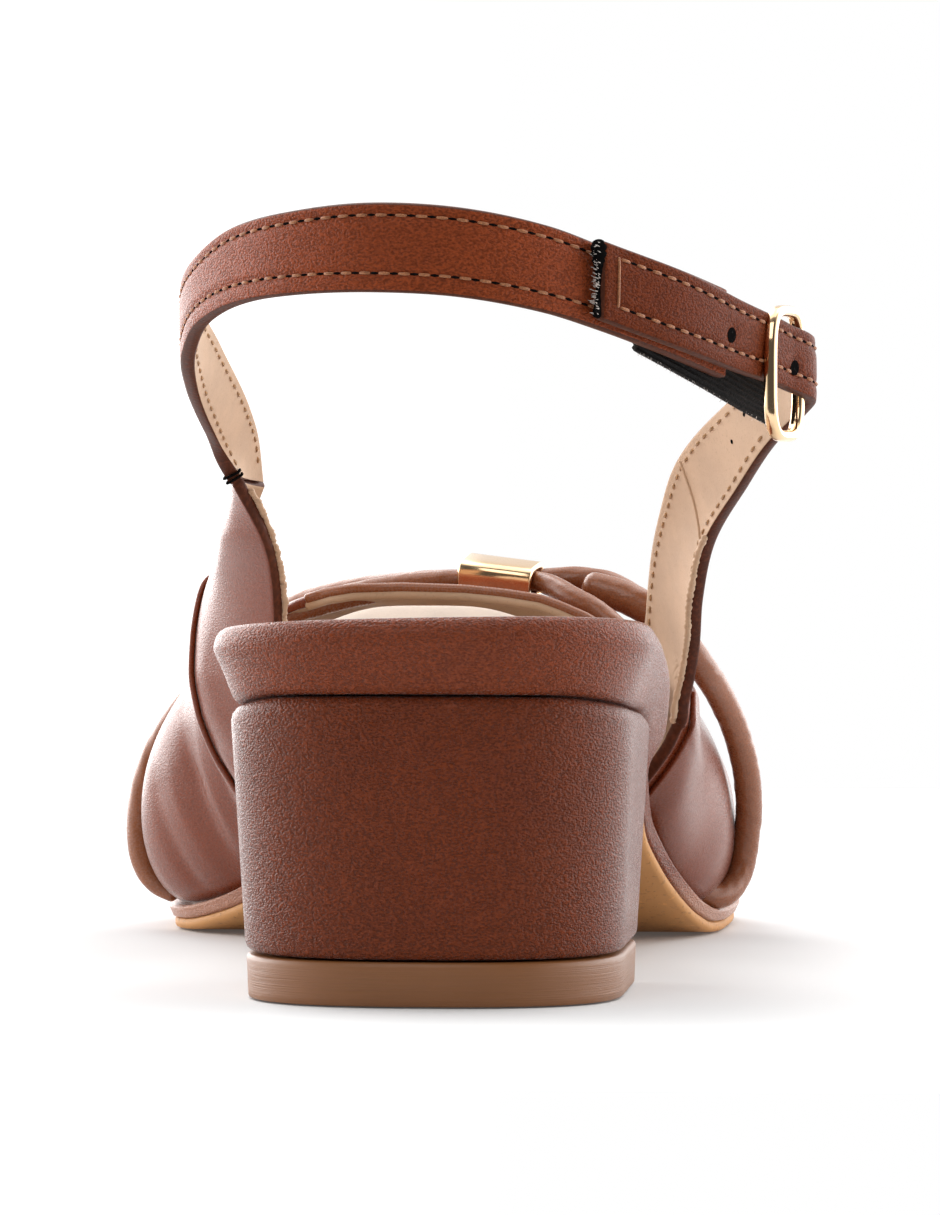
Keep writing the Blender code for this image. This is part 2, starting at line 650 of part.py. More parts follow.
def build_upper():
    """The upper, and a search surface of the vamp's outside."""
    grid = []
    for share in np.linspace(0, 1, VAMP_ROWS):
        row = []
        for around in np.linspace(0, 1, VAMP_RIBS):
            rear, front = VAMP_EDGES.at(around, "rear"), VAMP_EDGES.at(around, "front")
            row.append(vamp_point(rear + (front - rear) * share, around))
        grid.append(row)
    grid = np.array(grid)[:, ::-1]
    vamp = add("upper", sheet_mesh(grid, UPPER_WALL, above_footbed), BROWN, 0.5)
    inner = ribbon_grid(INNER_QUARTER, -1, 16, 7, BAND_STEP)
    outer = ribbon_grid(OUTER_QUARTER, 1, 30, 6, 0.5)
    walls = [
        add("inner_quarter", sheet_mesh(inner, UPPER_WALL, above_footbed), BROWN, 0.5),
        add("outer_quarter", sheet_mesh(outer[:, ::-1], UPPER_WALL, above_footbed), BROWN, 0.5),
    ]
    join(vamp, walls)
    quads = []
    for i in range(VAMP_ROWS - 1):
        for k in range(VAMP_RIBS - 1):
            corner = i * VAMP_RIBS + k
            quads.append((corner, corner + VAMP_RIBS, corner + VAMP_RIBS + 1, corner + 1))
    return BVHTree.FromPolygons([tuple(place) for place in grid.reshape(-1, 3)], quads)


def build_sling():
    add("sling_strap", sheet_mesh(ribbon_grid(SLING, -1, 34, 3), STRAP_WALL), BROWN, 0.5)
    add("elastic", sheet_mesh(ribbon_grid(ELASTIC, 1, 8, 3)[:, ::-1], ELASTIC_WALL), BLACK, 0.8)


def surfaces(names):
    """Search trees of finished pieces, with their cut and fused shapes."""
    bpy.context.view_layer.update()
    state = bpy.context.evaluated_depsgraph_get()
    return [BVHTree.FromObject(bpy.data.objects[name], state) for name in names]


def clear_of(path, radii, skin, trees):
    """The path, brought out of the skin and moved off each surface that its cord would touch."""
    path = path.copy()
    for turn in range(CLEAR_PASSES):
        for i, radius in enumerate(radii):
            near, normal, _, _ = skin.find_nearest(Vector(path[i]))
            away = path[i] - np.array(near)
            depth = away @ np.array(normal)
            if depth < -DEEP * np.linalg.norm(away):
                path[i] += np.array(normal) * (radius + CORD_GAP - depth)
            for tree in trees:
                near = tree.find_nearest(Vector(path[i] * MM))[0]
                away = path[i] - np.array(near) / MM
                distance = np.linalg.norm(away)
                path[i] += away / distance * max(radius + CORD_GAP - distance, 0.0)
        if turn < SMOOTH_PASSES:
            path[1:-1] = path[1:-1] * 0.7 + (path[:-2] + path[2:]) * 0.15
    return path


def cord(name, rows, count, skin, clear):
    """Rolled cord through the rows of a table, outside the skin and clear of the named pieces."""
    places = np.array([row[:3] for row in rows], dtype=float)
    steps = np.linalg.norm(np.diff(places, axis=0), axis=1)
    share = np.concatenate(((0,), np.cumsum(steps))) / steps.sum()
    radii = np.interp(np.linspace(0, 1, count), share, [row[3] for row in rows])
    path = clear_of(through(places, count), radii, skin, surfaces(clear))
    add(name, tube_mesh(path, radii), BROWN, 0.4)


def ring_section(depth, height, corner, steps=4):
    """Points of a rounded rectangle round the bead's axis, as (y, z)."""
    points = []
    for quarter in range(4):
        for step in range(steps + 1):
            angle = math.pi / 2 * (quarter + step / steps)
            y = math.copysign(depth / 2 - corner, math.cos(math.pi / 2 * quarter + math.pi / 4))
            z = math.copysign(height / 2 - corner, math.sin(math.pi / 2 * quarter + math.pi / 4))
            points.append((y + corner * math.cos(angle), z + corner * math.sin(angle)))
    return points


def build_bead():
    """Metal sleeve that holds two cords side by side, with softened rims."""
    soft = 0.3
    half = BEAD_LENGTH / 2
    outside = ((-half, soft), (-half + soft, 0.0), (half - soft, 0.0), (half, soft))
    rings = [(x, draw_in, False) for x, draw_in in outside]
    rings += [(x, 0.0, True) for x in (half, -half)]
    verts, faces = [], []
    for x, draw_in, inside in rings:
        drop = 2 * (BEAD_WALL if inside else draw_in)
        corner = BEAD_CORNER - drop / 2
        for y, z in ring_section(BEAD_DEPTH - drop, BEAD_HEIGHT - drop, corner):
            verts.append((BEAD_PLACE[0] + x, BEAD_PLACE[1] + y, BEAD_PLACE[2] + z))
    size = len(verts) // len(rings)
    for r in range(len(rings)):
        low, high = r * size, (r + 1) % len(rings) * size
        for i in range(size):
            j = (i + 1) % size
            faces.append((low + i, low + j, high + j, high + i))
    add("bead", (verts, faces), GOLD, 0.15, 1.0)


def build_buckle():
    """Oval frame round the tail: its rear bar lies outside the tail and its front bar inside."""
    rear, front = np.array(BUCKLE_REAR), np.array(BUCKLE_FRONT)
    centre, along = (rear + front) / 2, (front - rear) / 2
    count, sides, square = 36, 8, 2 / 5.0
    verts, faces = [], []
    for i in range(count):
        turn = 2 * math.pi * i / count
        across = math.copysign(abs(math.cos(turn)) ** square, math.cos(turn))
        rise = math.copysign(abs(math.sin(turn)) ** square, math.sin(turn))
        place = centre + along * across + np.array((0, 0, BUCKLE_HEIGHT / 2 - BUCKLE_WIRE)) * rise
        out = place - centre
        out /= np.linalg.norm(out)
        flat = np.cross(along, (0, 0, 1))
        flat /= np.linalg.norm(flat)
        for k in range(sides):
            angle = 2 * math.pi * k / sides
            verts.append(place + BUCKLE_WIRE * (out * math.cos(angle) + flat * math.sin(angle)))
    for i in range(count):
        n = (i + 1) % count
        for k in range(sides):
            m = (k + 1) % sides
            faces.append((i * sides + k, i * sides + m, n * sides + m, n * sides + k))
    add("buckle_frame", (verts, faces), GOLD, 0.15, 1.0)


def main():
    for old in list(bpy.data.objects):
        bpy.data.objects.remove(old, do_unlink=True)
    build_heel()
    build_sole()
    skin = build_upper()
    build_sling()
    build_bead()
    cord("topline_cord", TOPLINE_CORD, 34, skin, ("upper",))
    cord("front_cord", FRONT_CORD, 48, skin, ("upper", "footbed", "topline_cord"))
    cord("outer_cord", OUTER_CORD, 32, skin, ("upper", "footbed", "topline_cord", "front_cord"))
    build_buckle()


if __name__ == "__main__":
    main()
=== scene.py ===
"""Looks of a brown slingback sandal for a right foot: leather, lining, stitches, cords and metal."""
import math

import bmesh
import bpy
import numpy as np
from bpy.props import FloatProperty, FloatVectorProperty, PointerProperty
from mathutils import Euler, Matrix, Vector
from mathutils.bvhtree import BVHTree


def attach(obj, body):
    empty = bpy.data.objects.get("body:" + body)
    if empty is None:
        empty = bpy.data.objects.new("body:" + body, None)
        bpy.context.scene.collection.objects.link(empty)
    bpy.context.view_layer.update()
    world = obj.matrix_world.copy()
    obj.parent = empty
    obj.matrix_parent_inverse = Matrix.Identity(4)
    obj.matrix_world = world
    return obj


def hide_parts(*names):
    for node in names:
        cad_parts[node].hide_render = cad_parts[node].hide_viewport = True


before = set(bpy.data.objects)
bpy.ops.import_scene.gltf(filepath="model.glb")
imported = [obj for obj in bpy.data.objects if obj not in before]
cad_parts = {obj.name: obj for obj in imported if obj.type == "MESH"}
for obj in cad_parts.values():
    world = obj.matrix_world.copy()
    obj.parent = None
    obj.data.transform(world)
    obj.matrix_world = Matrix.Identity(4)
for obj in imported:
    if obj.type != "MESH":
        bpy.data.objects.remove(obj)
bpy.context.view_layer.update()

bl_info = {
    "name": "Slingback Sandal",
    "version": (1, 0, 0),
    "blender": (4, 5, 0),
    "location": "View3D > Sidebar > Sandal",
    "description": "Builds the leather, lining, stitching and metal of a block-heel slingback sandal",
    "category": "Object",
}

MM = 0.001

# Driving sizes of the solids, in millimetres: +Y to the toe, +X to the outer side, +Z up
SEAT_BACK = -31.0
TOE_TIP = 208.0
SEAT_ROUND = 29.0
SEAT_SQUARE = 2.5
TOE_ROUND = 62.0
TOE_SQUARE = 2.15
OUTSOLE_THICK = 1.4
OUTSOLE_REAR = 28.0
OUTSOLE_INSET = 0.9
OUTSOLE_TAPER = 4.5
TREAD_HALF_WIDTH = 25.8
TREAD_LENGTH = 50.0
LIFT_HEIGHT = 6.0
HEEL_TOP_HALF_WIDTH = 27.9
HEEL_TOP_BACK = -28.2
HEEL_TOP_FRONT = 26.8
HEEL_ROUND = 24.0
HEEL_SQUARE = 2.6
HEEL_CORNER = 4.0
SEAT_COVE = 3.2
INNER_FEATHER = 2.6
OUTER_FEATHER = 4.6
GAP = 0.3
UPPER_WALL = 1.8
STRAP_WALL = 2.0
BEAD_PLACE = (0.0, 103.2, 55.4)
BEAD_SIZE = (11.6, 9.0, 6.1)
BEAD_DIP = 2.9
BEAD_DIP_REACH = 11.0
BUCKLE_REAR = (45.9, -3.2, 85.4)
BUCKLE_FRONT = (49.2, 10.0, 85.4)
BUCKLE_HEIGHT = 18.8

# The photograph's camera: a long lens behind the heel, a little to its outer side
PHOTO_HEIGHT = 1215
FOCAL_PIXELS = 6678.0
EYE = (84.55, -916.0, 72.0)
TURN = math.radians(5.0)
HORIZON_PIXEL = 471.0
SENSOR = 36.0
CLIP = (0.05, 50.0)

# Fine shapes of the pieces: millimetres, shares of a length or width, and counts of points.
# Heel and sole first
CROWN_FALL = 1.7
CROWN_ENDS = 12.0
SEAT_TILT = 0.02
TILT_START = 10.0
TILT_FADE = 40.0
RAND_COVE = 0.7
COVE_START = 78.0
COVE_FADE = 20.0
OUTSOLE_FADE = 45.0
OUTSOLE_TOE = 1.2
BED_INSET = 3.6
TIP_GAP = 0.003
LIFT_FLARE = 0.2
CORNER_DROP = 1.0
CORNER_START = 19.0
CORNER_REACH = 11.0
CORNER_FADE = 25.0
HEEL_COUNT = 72
SOLE_COUNT = 150
SOLE_COLUMNS = 24
SOCK_COLUMNS = 40

# Edges of every sheet, ends of every tube, and the places that the sheets face away from
EDGE_ROUND = 0.35
EDGE_STEPS = 4
DOME = 0.7
SMOOTH_ANGLE = 60.0
FOOT_MIDDLE = (-2.0, 60.0, 0.0)
HEEL_MIDDLE = (-2.0, 0.0, 0.0)

# Vamp, its rolled edge and the binding of its topline
VAMP_TUCK = 0.24
VAMP_ROWS = 150
VAMP_COLUMNS = 220
ROLL_RISE = 0.5
ROLL_WIDTH = 2.2
ROLL_END = 0.44
ROLL_FADE = 0.1
LIP_WIDTH = 3.8
LIP_SPAN = (0.33, 0.71)
LIP_FADE = 0.06
THIN_EDGE = 0.5
THIN_WIDTH = 5.0
FOOT_GAP = 0.1
# Arch of the topline seen from behind: place across the foot and height
TOPLINE = (
    (-36.0, 49.4), (-33.5, 50.5), (-29.6, 52.6), (-25.5, 53.9), (-21.8, 54.5), (-14.0, 54.7), (-4.7, 54.4),
    (1.5, 53.8), (7.1, 53.0), (10.1, 52.0), (14.0, 50.4), (18.0, 48.2), (22.0, 45.4),
)
BINDING_SPAN = (0.39, 0.66)
BINDING_COUNT = 90
BINDING_RADIUS = 0.75

# Quarters, tail, sling and their stitches
INNER_STEP = 2.4
OUTER_STEP = 2.8
TAIL_STITCHES = 0.60
BEND_ROW = 0.57
TAIL_END = 0.985
TAIL_BACK = 0.98
TAIL_KIND = 3
CORE_COUNT = 30
FUZZ_COUNT = 80
CLOSE_THREAD = 0.2
SEAM_BARS = (0.003, 0.011)
BAR_RADIUS = 0.2
LINE_COUNT = 240
STITCH_DIP = 0.6
STITCH_RUN = 0.6
STITCH_STEPS = 7
THREAD_SIDES = 6
RAGGED_COUNT = 90
RAGGED_THICK = 0.5
# How a quarter is drawn in, or pulled out, to lie under the vamp's edge
TUCK_DEPTH = 0.95
TUCK_FADE = 3.5
PULL = 2.4
PULL_FADE = 7.0
# Holes of the tail, and prick marks on the lining under it
HOLES = ((41.0, -11.1, 90.4), (49.1, 5.2, 86.3))
HOLE_RADIUS = 1.05
HOLE_DENT = 0.3
PRICK_RADIUS = 0.35
PRICKS = ((39.8, 25.0, 80.0), (38.6, 30.0, 76.0))
# Lap of the outer lining: its two ends on the front and the rear edge
LAP = ((31.0, 45.5, 73.4), (33.8, 46.8, 60.6))

# Cords, bead, buckle and elastic
CORD_SINK = 0.4
CORD_PASSES = 10
CORD_ENDS = 16
CORD_SMOOTH = 60
RIPPLE = 0.006
BEAD_SQUARE = 0.45
BEAD_COUNT = 72
BEAD_TURN = (10.0, 7.0, -8.0)
BUCKLE_WIRE = 0.8
BUCKLE_SQUARE = 0.55
BUCKLE_COUNT = 200
WIRE_SIDES = 20
WIRE_FLAT = 1.15
WIRE_SQUARE = 0.8
ELASTIC_WALL = 1.2
ELASTIC_RIBS = 11
RIB_DEPTH = 0.14
FRAY_COUNT = 110
# Bead's wall, outside and back through the inside: distance from its end, and how far drawn in
BEAD_SIDE = (
    (-0.001, 0.45), (-0.13, 0.13), (-0.45, 0.0), (0.45, 0.0), (0.13, 0.13), (0.001, 0.45), (0.001, 0.7),
    (0.2, 0.95), (-0.2, 0.95), (-0.001, 0.7),
)
# Folds of the vamp: start, end, width and depth, where a minus depth is a ridge
VAMP_FOLDS = (
    ((-46.4, 91.0, 38.0), (-39.0, 97.0, 20.0), 1.9, 1.0),
    ((-48.6, 97.0, 33.0), (-40.4, 102.0, 16.0), 2.2, -0.6),
    ((-50.6, 104.0, 31.0), (-40.8, 105.0, 13.0), 2.2, 1.05),
    ((-53.0, 109.0, 27.0), (-43.5, 109.0, 10.0), 2.2, -0.55),
    ((-54.6, 114.0, 24.0), (-47.5, 113.0, 7.0), 2.2, 0.85),
    ((-6.0, 112.0, 52.0), (-20.0, 140.0, 44.0), 3.0, 0.6),
    ((3.0, 112.0, 51.0), (6.0, 145.0, 40.0), 3.0, 0.6),
)

# Sockets of a Mix node for colours, whose names repeat
MIX_FACTOR, MIX_FIRST, MIX_SECOND = 0, 6, 7
MIX_COLOUR = 2

# Heights, in metres, between which the wrap goes from the pale rand colour, painted light bounced up from
# the floor, to the seat's colour; dust on the elastic
FLOOR_BOUNCE_SPAN = (0.004, 0.012)
LINT = (0.09, 0.08, 0.075)

# Stage: the floor in metres, and how bright the surround is behind the camera, aside and ahead
FLOOR_CORNERS = ((-0.6, -0.14), (0.6, 0.6))
FLOOR_GLOW = 0.05
FLOOR_DROP = 0.0002
FLOOR_PAPER = (0.68, 0.68, 0.68)
WHITE = (1.0, 1.0, 1.0)
BACK_LIGHT = 0.1
SIDE_LIGHT = 2.0
SIDE_SPAN = (0.6, 1.0)
RIM_LIGHT = 3.8
RIM_RIGHT = 0.5
RIM_ASIDE = (0.08, 0.3)
RIM_AHEAD = (0.0, 0.5)
RIM_TURN = (-0.05, 0.05)
BACK_SPAN = (-0.6, 0.35)
# Lamps: place and aim in metres, width and height, power
LAMPS = (
    ("top_lamp", (0.0, 0.25, 0.9), (0.0, 0.05, 0.05), (0.9, 0.9), 2.8),
    ("front_lamp", (-0.12, -0.55, 0.55), (0.0, 0.0, 0.09), (0.5, 0.5), 1.7),
)

# Sides of the stacked pieces from below up: height or share of it, and how far each level is drawn in
LIFT_SIDE = ((0.0, 0.3), (0.08, 0.12), (0.25, 0.02), (1.0, 0.0), (3.0, 0.0), (5.2, 0.0), (5.7, 0.08),
             (6.0, 0.4))
COVER_SIDE = ((0.0, 1.1), (0.006, 0.6), (0.018, 0.2), (0.04, 0.0), (0.2, 0.0), (0.4, 0.0), (0.6, 0.0),
              (0.8, 0.0), (0.94, 0.0), (0.968, 0.25), (0.988, 0.8), (1.0, 1.6))
OUTSOLE_SIDE = ((0.0, 0.7), (0.15, 0.2), (0.4, 0.0), (0.8, 0.0), (1.0, 0.3))
# Insole: how far each level is drawn in, and its height
INSOLE_SIDE = ((0.6, 0.0), (0.1, 0.2), (0.0, 0.5), (0.15, 0.8), (0.6, 1.0), (1.4, 1.1))
# Footbed: share of the cove under the seat, how far drawn in, and share of the edge's height
FOOTBED_SIDE = (
    (1.0, 0.6, 0.0), (0.96, 0.12, 0.03), (0.86, 0.0, 0.08), (0.68, 0.0, 0.2), (0.5, 0.0, 0.33),
    (0.3, 0.0, 0.47), (0.12, 0.0, 0.6), (0.0, 0.0, 0.7), (0.0, 0.08, 0.79), (0.0, 0.35, 0.88),
    (0.0, 0.8, 0.95), (0.0, 1.4, 0.99), (0.0, 2.0, 1.0), (0.0, 3.0, 1.0),
)


def smooth_between(keys, values, tangents, at):
    """Values between rows of keys, joined smoothly by the slope at each row."""
    i = np.clip(np.searchsorted(keys, at, side="right") - 1, 0, len(keys) - 2)
    step = keys[i + 1] - keys[i]
    t = (at - keys[i]) / step
    if values.ndim == 2:
        step, t = step[:, None], t[:, None]
    rise = values[i + 1] - values[i]
    a, b = tangents[i] * step, tangents[i + 1] * step
    return values[i] + t * (a + t * (3 * rise - 2 * a - b + t * (a + b - 2 * rise)))


class Table:
    """Rows of sizes with named columns, read smoothly between rows along the first column."""

    def __init__(self, columns, *rows):
        data = np.array(rows, dtype=float)
        self.key = data[:, 0]
        self.columns = {name: (data[:, i], flat_tangents(self.key, data[:, i]))
                        for i, name in enumerate(columns)}

    def at(self, key, column):
        """Values at one key or an array of keys; they never swing past the rows on their two sides."""
        key = np.clip(np.asarray(key, float), self.key[0], self.key[-1])
        return smooth_between(self.key, *self.columns[column], key)


def flat_tangents(keys, values):
    """Slope at each row, level wherever the rows turn back."""
    slopes = np.diff(values) / np.diff(keys)
    before, after = slopes[:-1], slopes[1:]
    total = np.where(before * after > 0, before + after, 1.0)
    inner = np.where(before * after > 0, 2 * before * after / total, 0.0)
    return np.concatenate((slopes[:1], inner, slopes[-1:]))


# Outline of the sole (inner and outer edge), height of the footbed's underside, height of its wrapped
# edge, depth of the recess for the insole, how far the insole lies in, and how high it is crowned
SOLE = Table(
    ("y", "inner", "outer", "under", "edge", "recess", "insole_inset", "crown"),
    (-31, -30.4, 30.4, 42.4, 10.2, 2.4, 4.2, 3.4),
    (-12, -30.4, 30.4, 41.2, 10.0, 2.4, 4.2, 3.4),
    (0, -30.4, 30.4, 40.2, 9.9, 2.4, 4.2, 3.4),
    (28, -29.6, 30.2, 37.0, 8.6, 1.8, 4.4, 2.6),
    (52, -28.6, 28.4, 30.2, 6.0, 0.7, 4.8, 1.5),
    (67, -29.2, 24.9, 24.1, 4.4, 0.5, 5.6, 1.3),
    (80, -30.6, 24.6, 18.4, 3.2, 0.3, 6.6, 1.2),
    (92, -33.4, 26.2, 12.4, 2.6, 0.0, 7.4, 1.0),
    (104, -39.0, 28.8, 6.9, 2.4, 0.0, 7.6, 1.0),
    (113, -46.0, 31.0, 3.6, 2.2, 0.0, 7.6, 1.0),
    (122, -52.0, 32.8, 1.9, 2.2, 0.0, 7.6, 1.0),
    (130, -54.6, 34.0, 1.7, 2.2, 0.0, 7.4, 1.0),
    (150, -56.0, 34.6, 1.7, 2.2, 0.0, 7.2, 1.0),
    (164, -56.0, 33.4, 1.7, 2.2, 0.0, 4.6, 1.0),
    (186, -56.0, 28.0, 4.0, 2.2, 0.0, 3.8, 1.0),
    (208, -55.5, 22.5, 8.4, 2.2, 0.0, 3.6, 0.8),
)

# Sections of the vamp: how far each side bulges past its foot and how high above the foot, place and
# height of the crest, and how square each shoulder is
VAMP = Table(
    ("y", "inner_out", "inner_waist", "outer_out", "outer_waist", "crest_x", "crest_z", "inner_square",
     "outer_square"),
    (76, 13.6, 24.0, 10.2, 17.0, -14.0, 51.6, 1.8, 2.8),
    (86, 15.2, 23.0, 9.8, 16.0, -15.0, 52.6, 1.65, 3.0),
    (95, 14.0, 21.0, 8.6, 14.5, -15.5, 53.3, 2.2, 2.6),
    (104, 13.0, 19.0, 7.6, 13.0, -15.5, 53.2, 2.4, 2.4),
    (113, 11.5, 17.0, 7.8, 12.5, -15.0, 51.6, 2.15, 2.3),
    (123, 8.3, 13.5, 6.4, 12.0, -14.5, 49.0, 2.1, 2.2),
    (132, 5.0, 11.5, 5.2, 11.0, -14.0, 46.0, 2.0, 2.3),
    (146, 4.0, 10.5, 3.4, 10.5, -13.5, 41.0, 2.2, 2.1),
    (168, 3.0, 9.5, 3.2, 9.0, -14.0, 34.0, 2.3, 2.1),
    (184, 3.0, 8.5, 3.8, 8.0, -14.5, 28.6, 2.3, 2.1),
)

# Rear and front edges of the vamp, from the inner foot (0) over the crest (0.5) to the outer foot (1)
VAMP_EDGES = Table(
    ("around", "rear", "front"),
    (0.00, 97.0, 148.0),
    (0.16, 88.0, 151.0),
    (0.30, 86.0, 162.0),
    (0.50, 94.6, 172.0),
    (0.64, 90.0, 173.0),
    (0.84, 82.0, 163.0),
    (1.00, 80.0, 152.0),
)

# Places of the vamp's rear edge over the two quarters, and how far the vamp is drawn to them
BAND_WIDTH = 15.0
BAND = Table(
    ("around", "x", "y", "z", "drawn"),
    (0.00, -33.2, 97.0, 12.9, 1.0),
    (0.06, -36.0, 94.6, 17.6, 1.0),
    (0.11, -39.0, 92.0, 23.1, 1.0),
    (0.15, -42.6, 89.2, 29.7, 1.0),
    (0.185, -44.6, 87.2, 35.9, 1.0),
    (0.22, -45.4, 86.2, 41.9, 1.0),
    (0.25, -45.2, 86.2, 46.5, 1.0),
    (0.30, -43.8, 88.0, 54.6, 1.0),
    (0.33, -42.0, 89.4, 56.2, 1.0),
    (0.36, -38.6, 91.2, 53.2, 0.8),
    (0.40, -33.4, 92.8, 50.6, 0.0),
    (0.70, 25.0, 88.0, 44.0, 0.0),
    (0.76, 28.9, 80.0, 41.6, 1.0),
    (0.82, 31.9, 69.4, 39.2, 1.0),
    (0.86, 31.9, 68.8, 35.6, 1.0),
    (0.90, 30.4, 71.8, 31.8, 1.0),
    (0.95, 27.6, 76.4, 27.4, 1.0),
    (1.00, 24.0, 82.0, 22.9, 1.0),
)

# Inner quarter, from the sole up to the sling: its rear edge, its front edge and its fullness.
# The lower rows run forward under the vamp band, where the band gives the front edge's width.
INNER_QUARTER = (
    # rear x, y, z, front x, y, z, fullness
    (-27.2, 78.0, 22.8, None, 107.0, 9.0, 0.0),
    (-29.4, 74.0, 32.0, None, 103.0, 22.0, 1.5),
    (-29.2, 67.0, 44.0, None, 97.0, 38.0, 3.0),
    (-28.8, 58.0, 57.4, -40.6, 87.0, 55.2, 3.2),
    (-29.8, 52.8, 63.4, -36.0, 75.0, 62.0, 3.6),
    (-32.8, 47.6, 70.8, -31.6, 63.5, 69.6, 1.2),
)

# Outer quarter, from the sole up to the tail that lies over the sling
OUTER_QUARTER = (
    (21.6, 82.0, 22.4, None, 104.0, 9.6, 0.0),
    (27.4, 72.4, 30.0, None, 101.0, 22.0, 0.6),
    (29.4, 65.5, 38.0, None, 97.0, 36.0, 0.6),
    (31.2, 58.5, 46.5, 23.8, 84.0, 47.0, 0.6),
    (32.0, 53.0, 53.5, 24.8, 72.0, 57.5, 0.6),
    (34.0, 46.0, 61.3, 27.2, 58.5, 66.3, 0.6),
    (39.4, 32.0, 69.3, 31.0, 44.5, 74.4, 0.3),
    (44.6, 21.0, 76.2, 39.4, 28.0, 82.4, 0.0),
    (48.2, 15.6, 79.6, 46.4, 18.6, 87.6, 0.0),
    (49.8, 11.2, 81.8, 49.6, 12.0, 90.2, 0.0),
    (46.6, 5.0, 83.6, 46.8, 4.8, 92.1, 0.0),
    (40.6, -7.4, 85.8, 40.9, -7.6, 95.0, 0.0),
    (33.6, -18.8, 88.6, 33.9, -19.1, 98.6, 0.0),
    (23.6, -28.8, 92.4, 23.8, -29.0, 102.4, 0.0),
)

# Sling strap, from its seam on the inner quarter round the back of the heel: lower and upper edge
SLING = (
    (-33.0, 47.0, 71.2, -31.6, 62.4, 70.4, 0.6),
    (-34.6, 40.8, 74.6, -31.3, 54.0, 76.7, 0.0),
    (-35.2, 33.5, 77.4, -31.4, 44.5, 81.0, 0.0),
    (-35.6, 18.0, 83.4, -33.2, 24.5, 89.8, 0.0),
    (-33.8, 2.6, 88.8, -34.2, 3.4, 97.4, 0.0),
    (-30.4, -9.0, 92.4, -30.6, -9.6, 101.2, 0.0),
    (-25.0, -19.2, 94.6, -25.1, -19.4, 104.4, 0.0),
    (-15.8, -29.4, 95.8, -15.8, -29.6, 106.4, 0.0),
    (-5.6, -34.8, 96.0, -5.6, -34.9, 107.2, 0.0),
    (5.2, -35.6, 95.4, 5.2, -35.7, 106.6, 0.0),
    (16.2, -31.6, 93.4, 16.3, -31.7, 104.4, 0.0),
    (23.7, -25.2, 91.0, 23.8, -25.3, 101.6, 0.0),
    (31.4, -16.2, 88.0, 31.5, -16.3, 99.4, 0.0),
    (38.2, -5.6, 85.0, 38.4, -5.8, 96.6, 0.0),
)

# Elastic that comes out from behind the sling's end and holds the buckle
ELASTIC = (
    (28.8, -18.3, 88.2, 28.9, -18.4, 96.6, 0.0),
    (37.7, -5.2, 83.1, 37.8, -5.3, 91.9, 0.0),
    (42.3, 2.6, 80.3, 42.3, 2.6, 89.1, 0.0),
    (46.0, 10.0, 78.2, 46.0, 10.0, 87.0, 0.0),
)


# Rolled leather cords: each row is a place on the cord's middle and its radius there.
# The topline cord lies along the vamp's rear edge and goes through the near half of the bead.
TOPLINE_CORD = (
    (-33.6, 93.8, 49.2, 1.3),
    (-30.6, 94.8, 50.5, 1.6),
    (-27.0, 96.0, 51.7, 1.8),
    (-21.0, 98.0, 53.3, 1.9),
    (-14.0, 99.8, 54.4, 1.9),
    (-6.8, 101.5, 55.2, 1.6),
    (0.0, 101.55, 55.4, 1.5),
    (5.6, 101.4, 55.2, 1.5),
    (8.4, 99.2, 54.4, 1.7),
    (11.3, 96.2, 52.9, 1.8),
    (15.6, 93.6, 50.6, 1.8),
    (19.4, 92.0, 47.4, 1.8),
    (23.4, 91.2, 41.8, 1.6),
)

# The front cord comes up from the inner edge of the sole and goes through the far half of the bead
FRONT_CORD = (
    (-53.8, 127.4, 5.4, 1.4),
    (-56.4, 128.0, 7.0, 1.8),
    (-58.4, 128.6, 10.4, 2.1),
    (-59.2, 129.0, 15.0, 2.1),
    (-57.3, 128.8, 24.6, 2.1),
    (-51.0, 128.0, 35.8, 2.1),
    (-43.0, 125.4, 43.0, 2.1),
    (-35.0, 120.4, 50.0, 2.1),
    (-24.0, 113.6, 53.4, 2.0),
    (-13.0, 107.6, 54.8, 1.8),
    (-6.8, 104.9, 55.5, 1.5),
    (0.0, 104.85, 55.5, 1.5),
    (6.4, 104.9, 55.5, 1.5),
    (11.0, 106.0, 55.6, 1.9),
    (16.0, 106.2, 55.0, 2.0),
    (20.6, 105.8, 52.8, 1.9),
    (25.0, 105.6, 48.6, 1.6),
)

# The outer cord starts as a thick roll beside the bead and stands clear of the vamp's outer side
OUTER_CORD = (
    (14.4, 101.0, 54.2, 2.4),
    (19.0, 100.4, 53.0, 2.5),
    (23.8, 100.0, 50.4, 2.5),
    (27.4, 100.4, 47.0, 2.4),
    (30.2, 102.4, 43.2, 2.2),
    (33.0, 108.4, 38.4, 2.1),
    (35.8, 116.0, 31.1, 2.1),
    (37.2, 122.4, 22.5, 2.1),
    (36.8, 126.6, 15.7, 2.1),
    (34.6, 127.4, 9.6, 2.1),
    (32.2, 124.6, 7.0, 2.0),
    (29.6, 120.8, 6.4, 1.8),
)


def sole_edges(y):
    """Inner and outer edge of the sole's outline, closed round at the seat and the toe."""
    inner, outer = SOLE.at(y, "inner"), SOLE.at(y, "outer")
    centre, half = (inner + outer) / 2, (outer - inner) / 2
    half = half * end_round((SEAT_BACK + SEAT_ROUND - y) / SEAT_ROUND, SEAT_SQUARE)
    half = half * end_round((y - TOE_TIP + TOE_ROUND) / TOE_ROUND, TOE_SQUARE)
    return centre - half, centre + half


def end_round(reach, square):
    """Share of the width left where an outline has gone the share reach into its rounded end."""
    return (1 - np.clip(reach, 0, 1) ** square) ** (1 / square)


def rim(y):
    """Height of the footbed's upper edge."""
    return SOLE.at(y, "under") + SOLE.at(y, "edge")


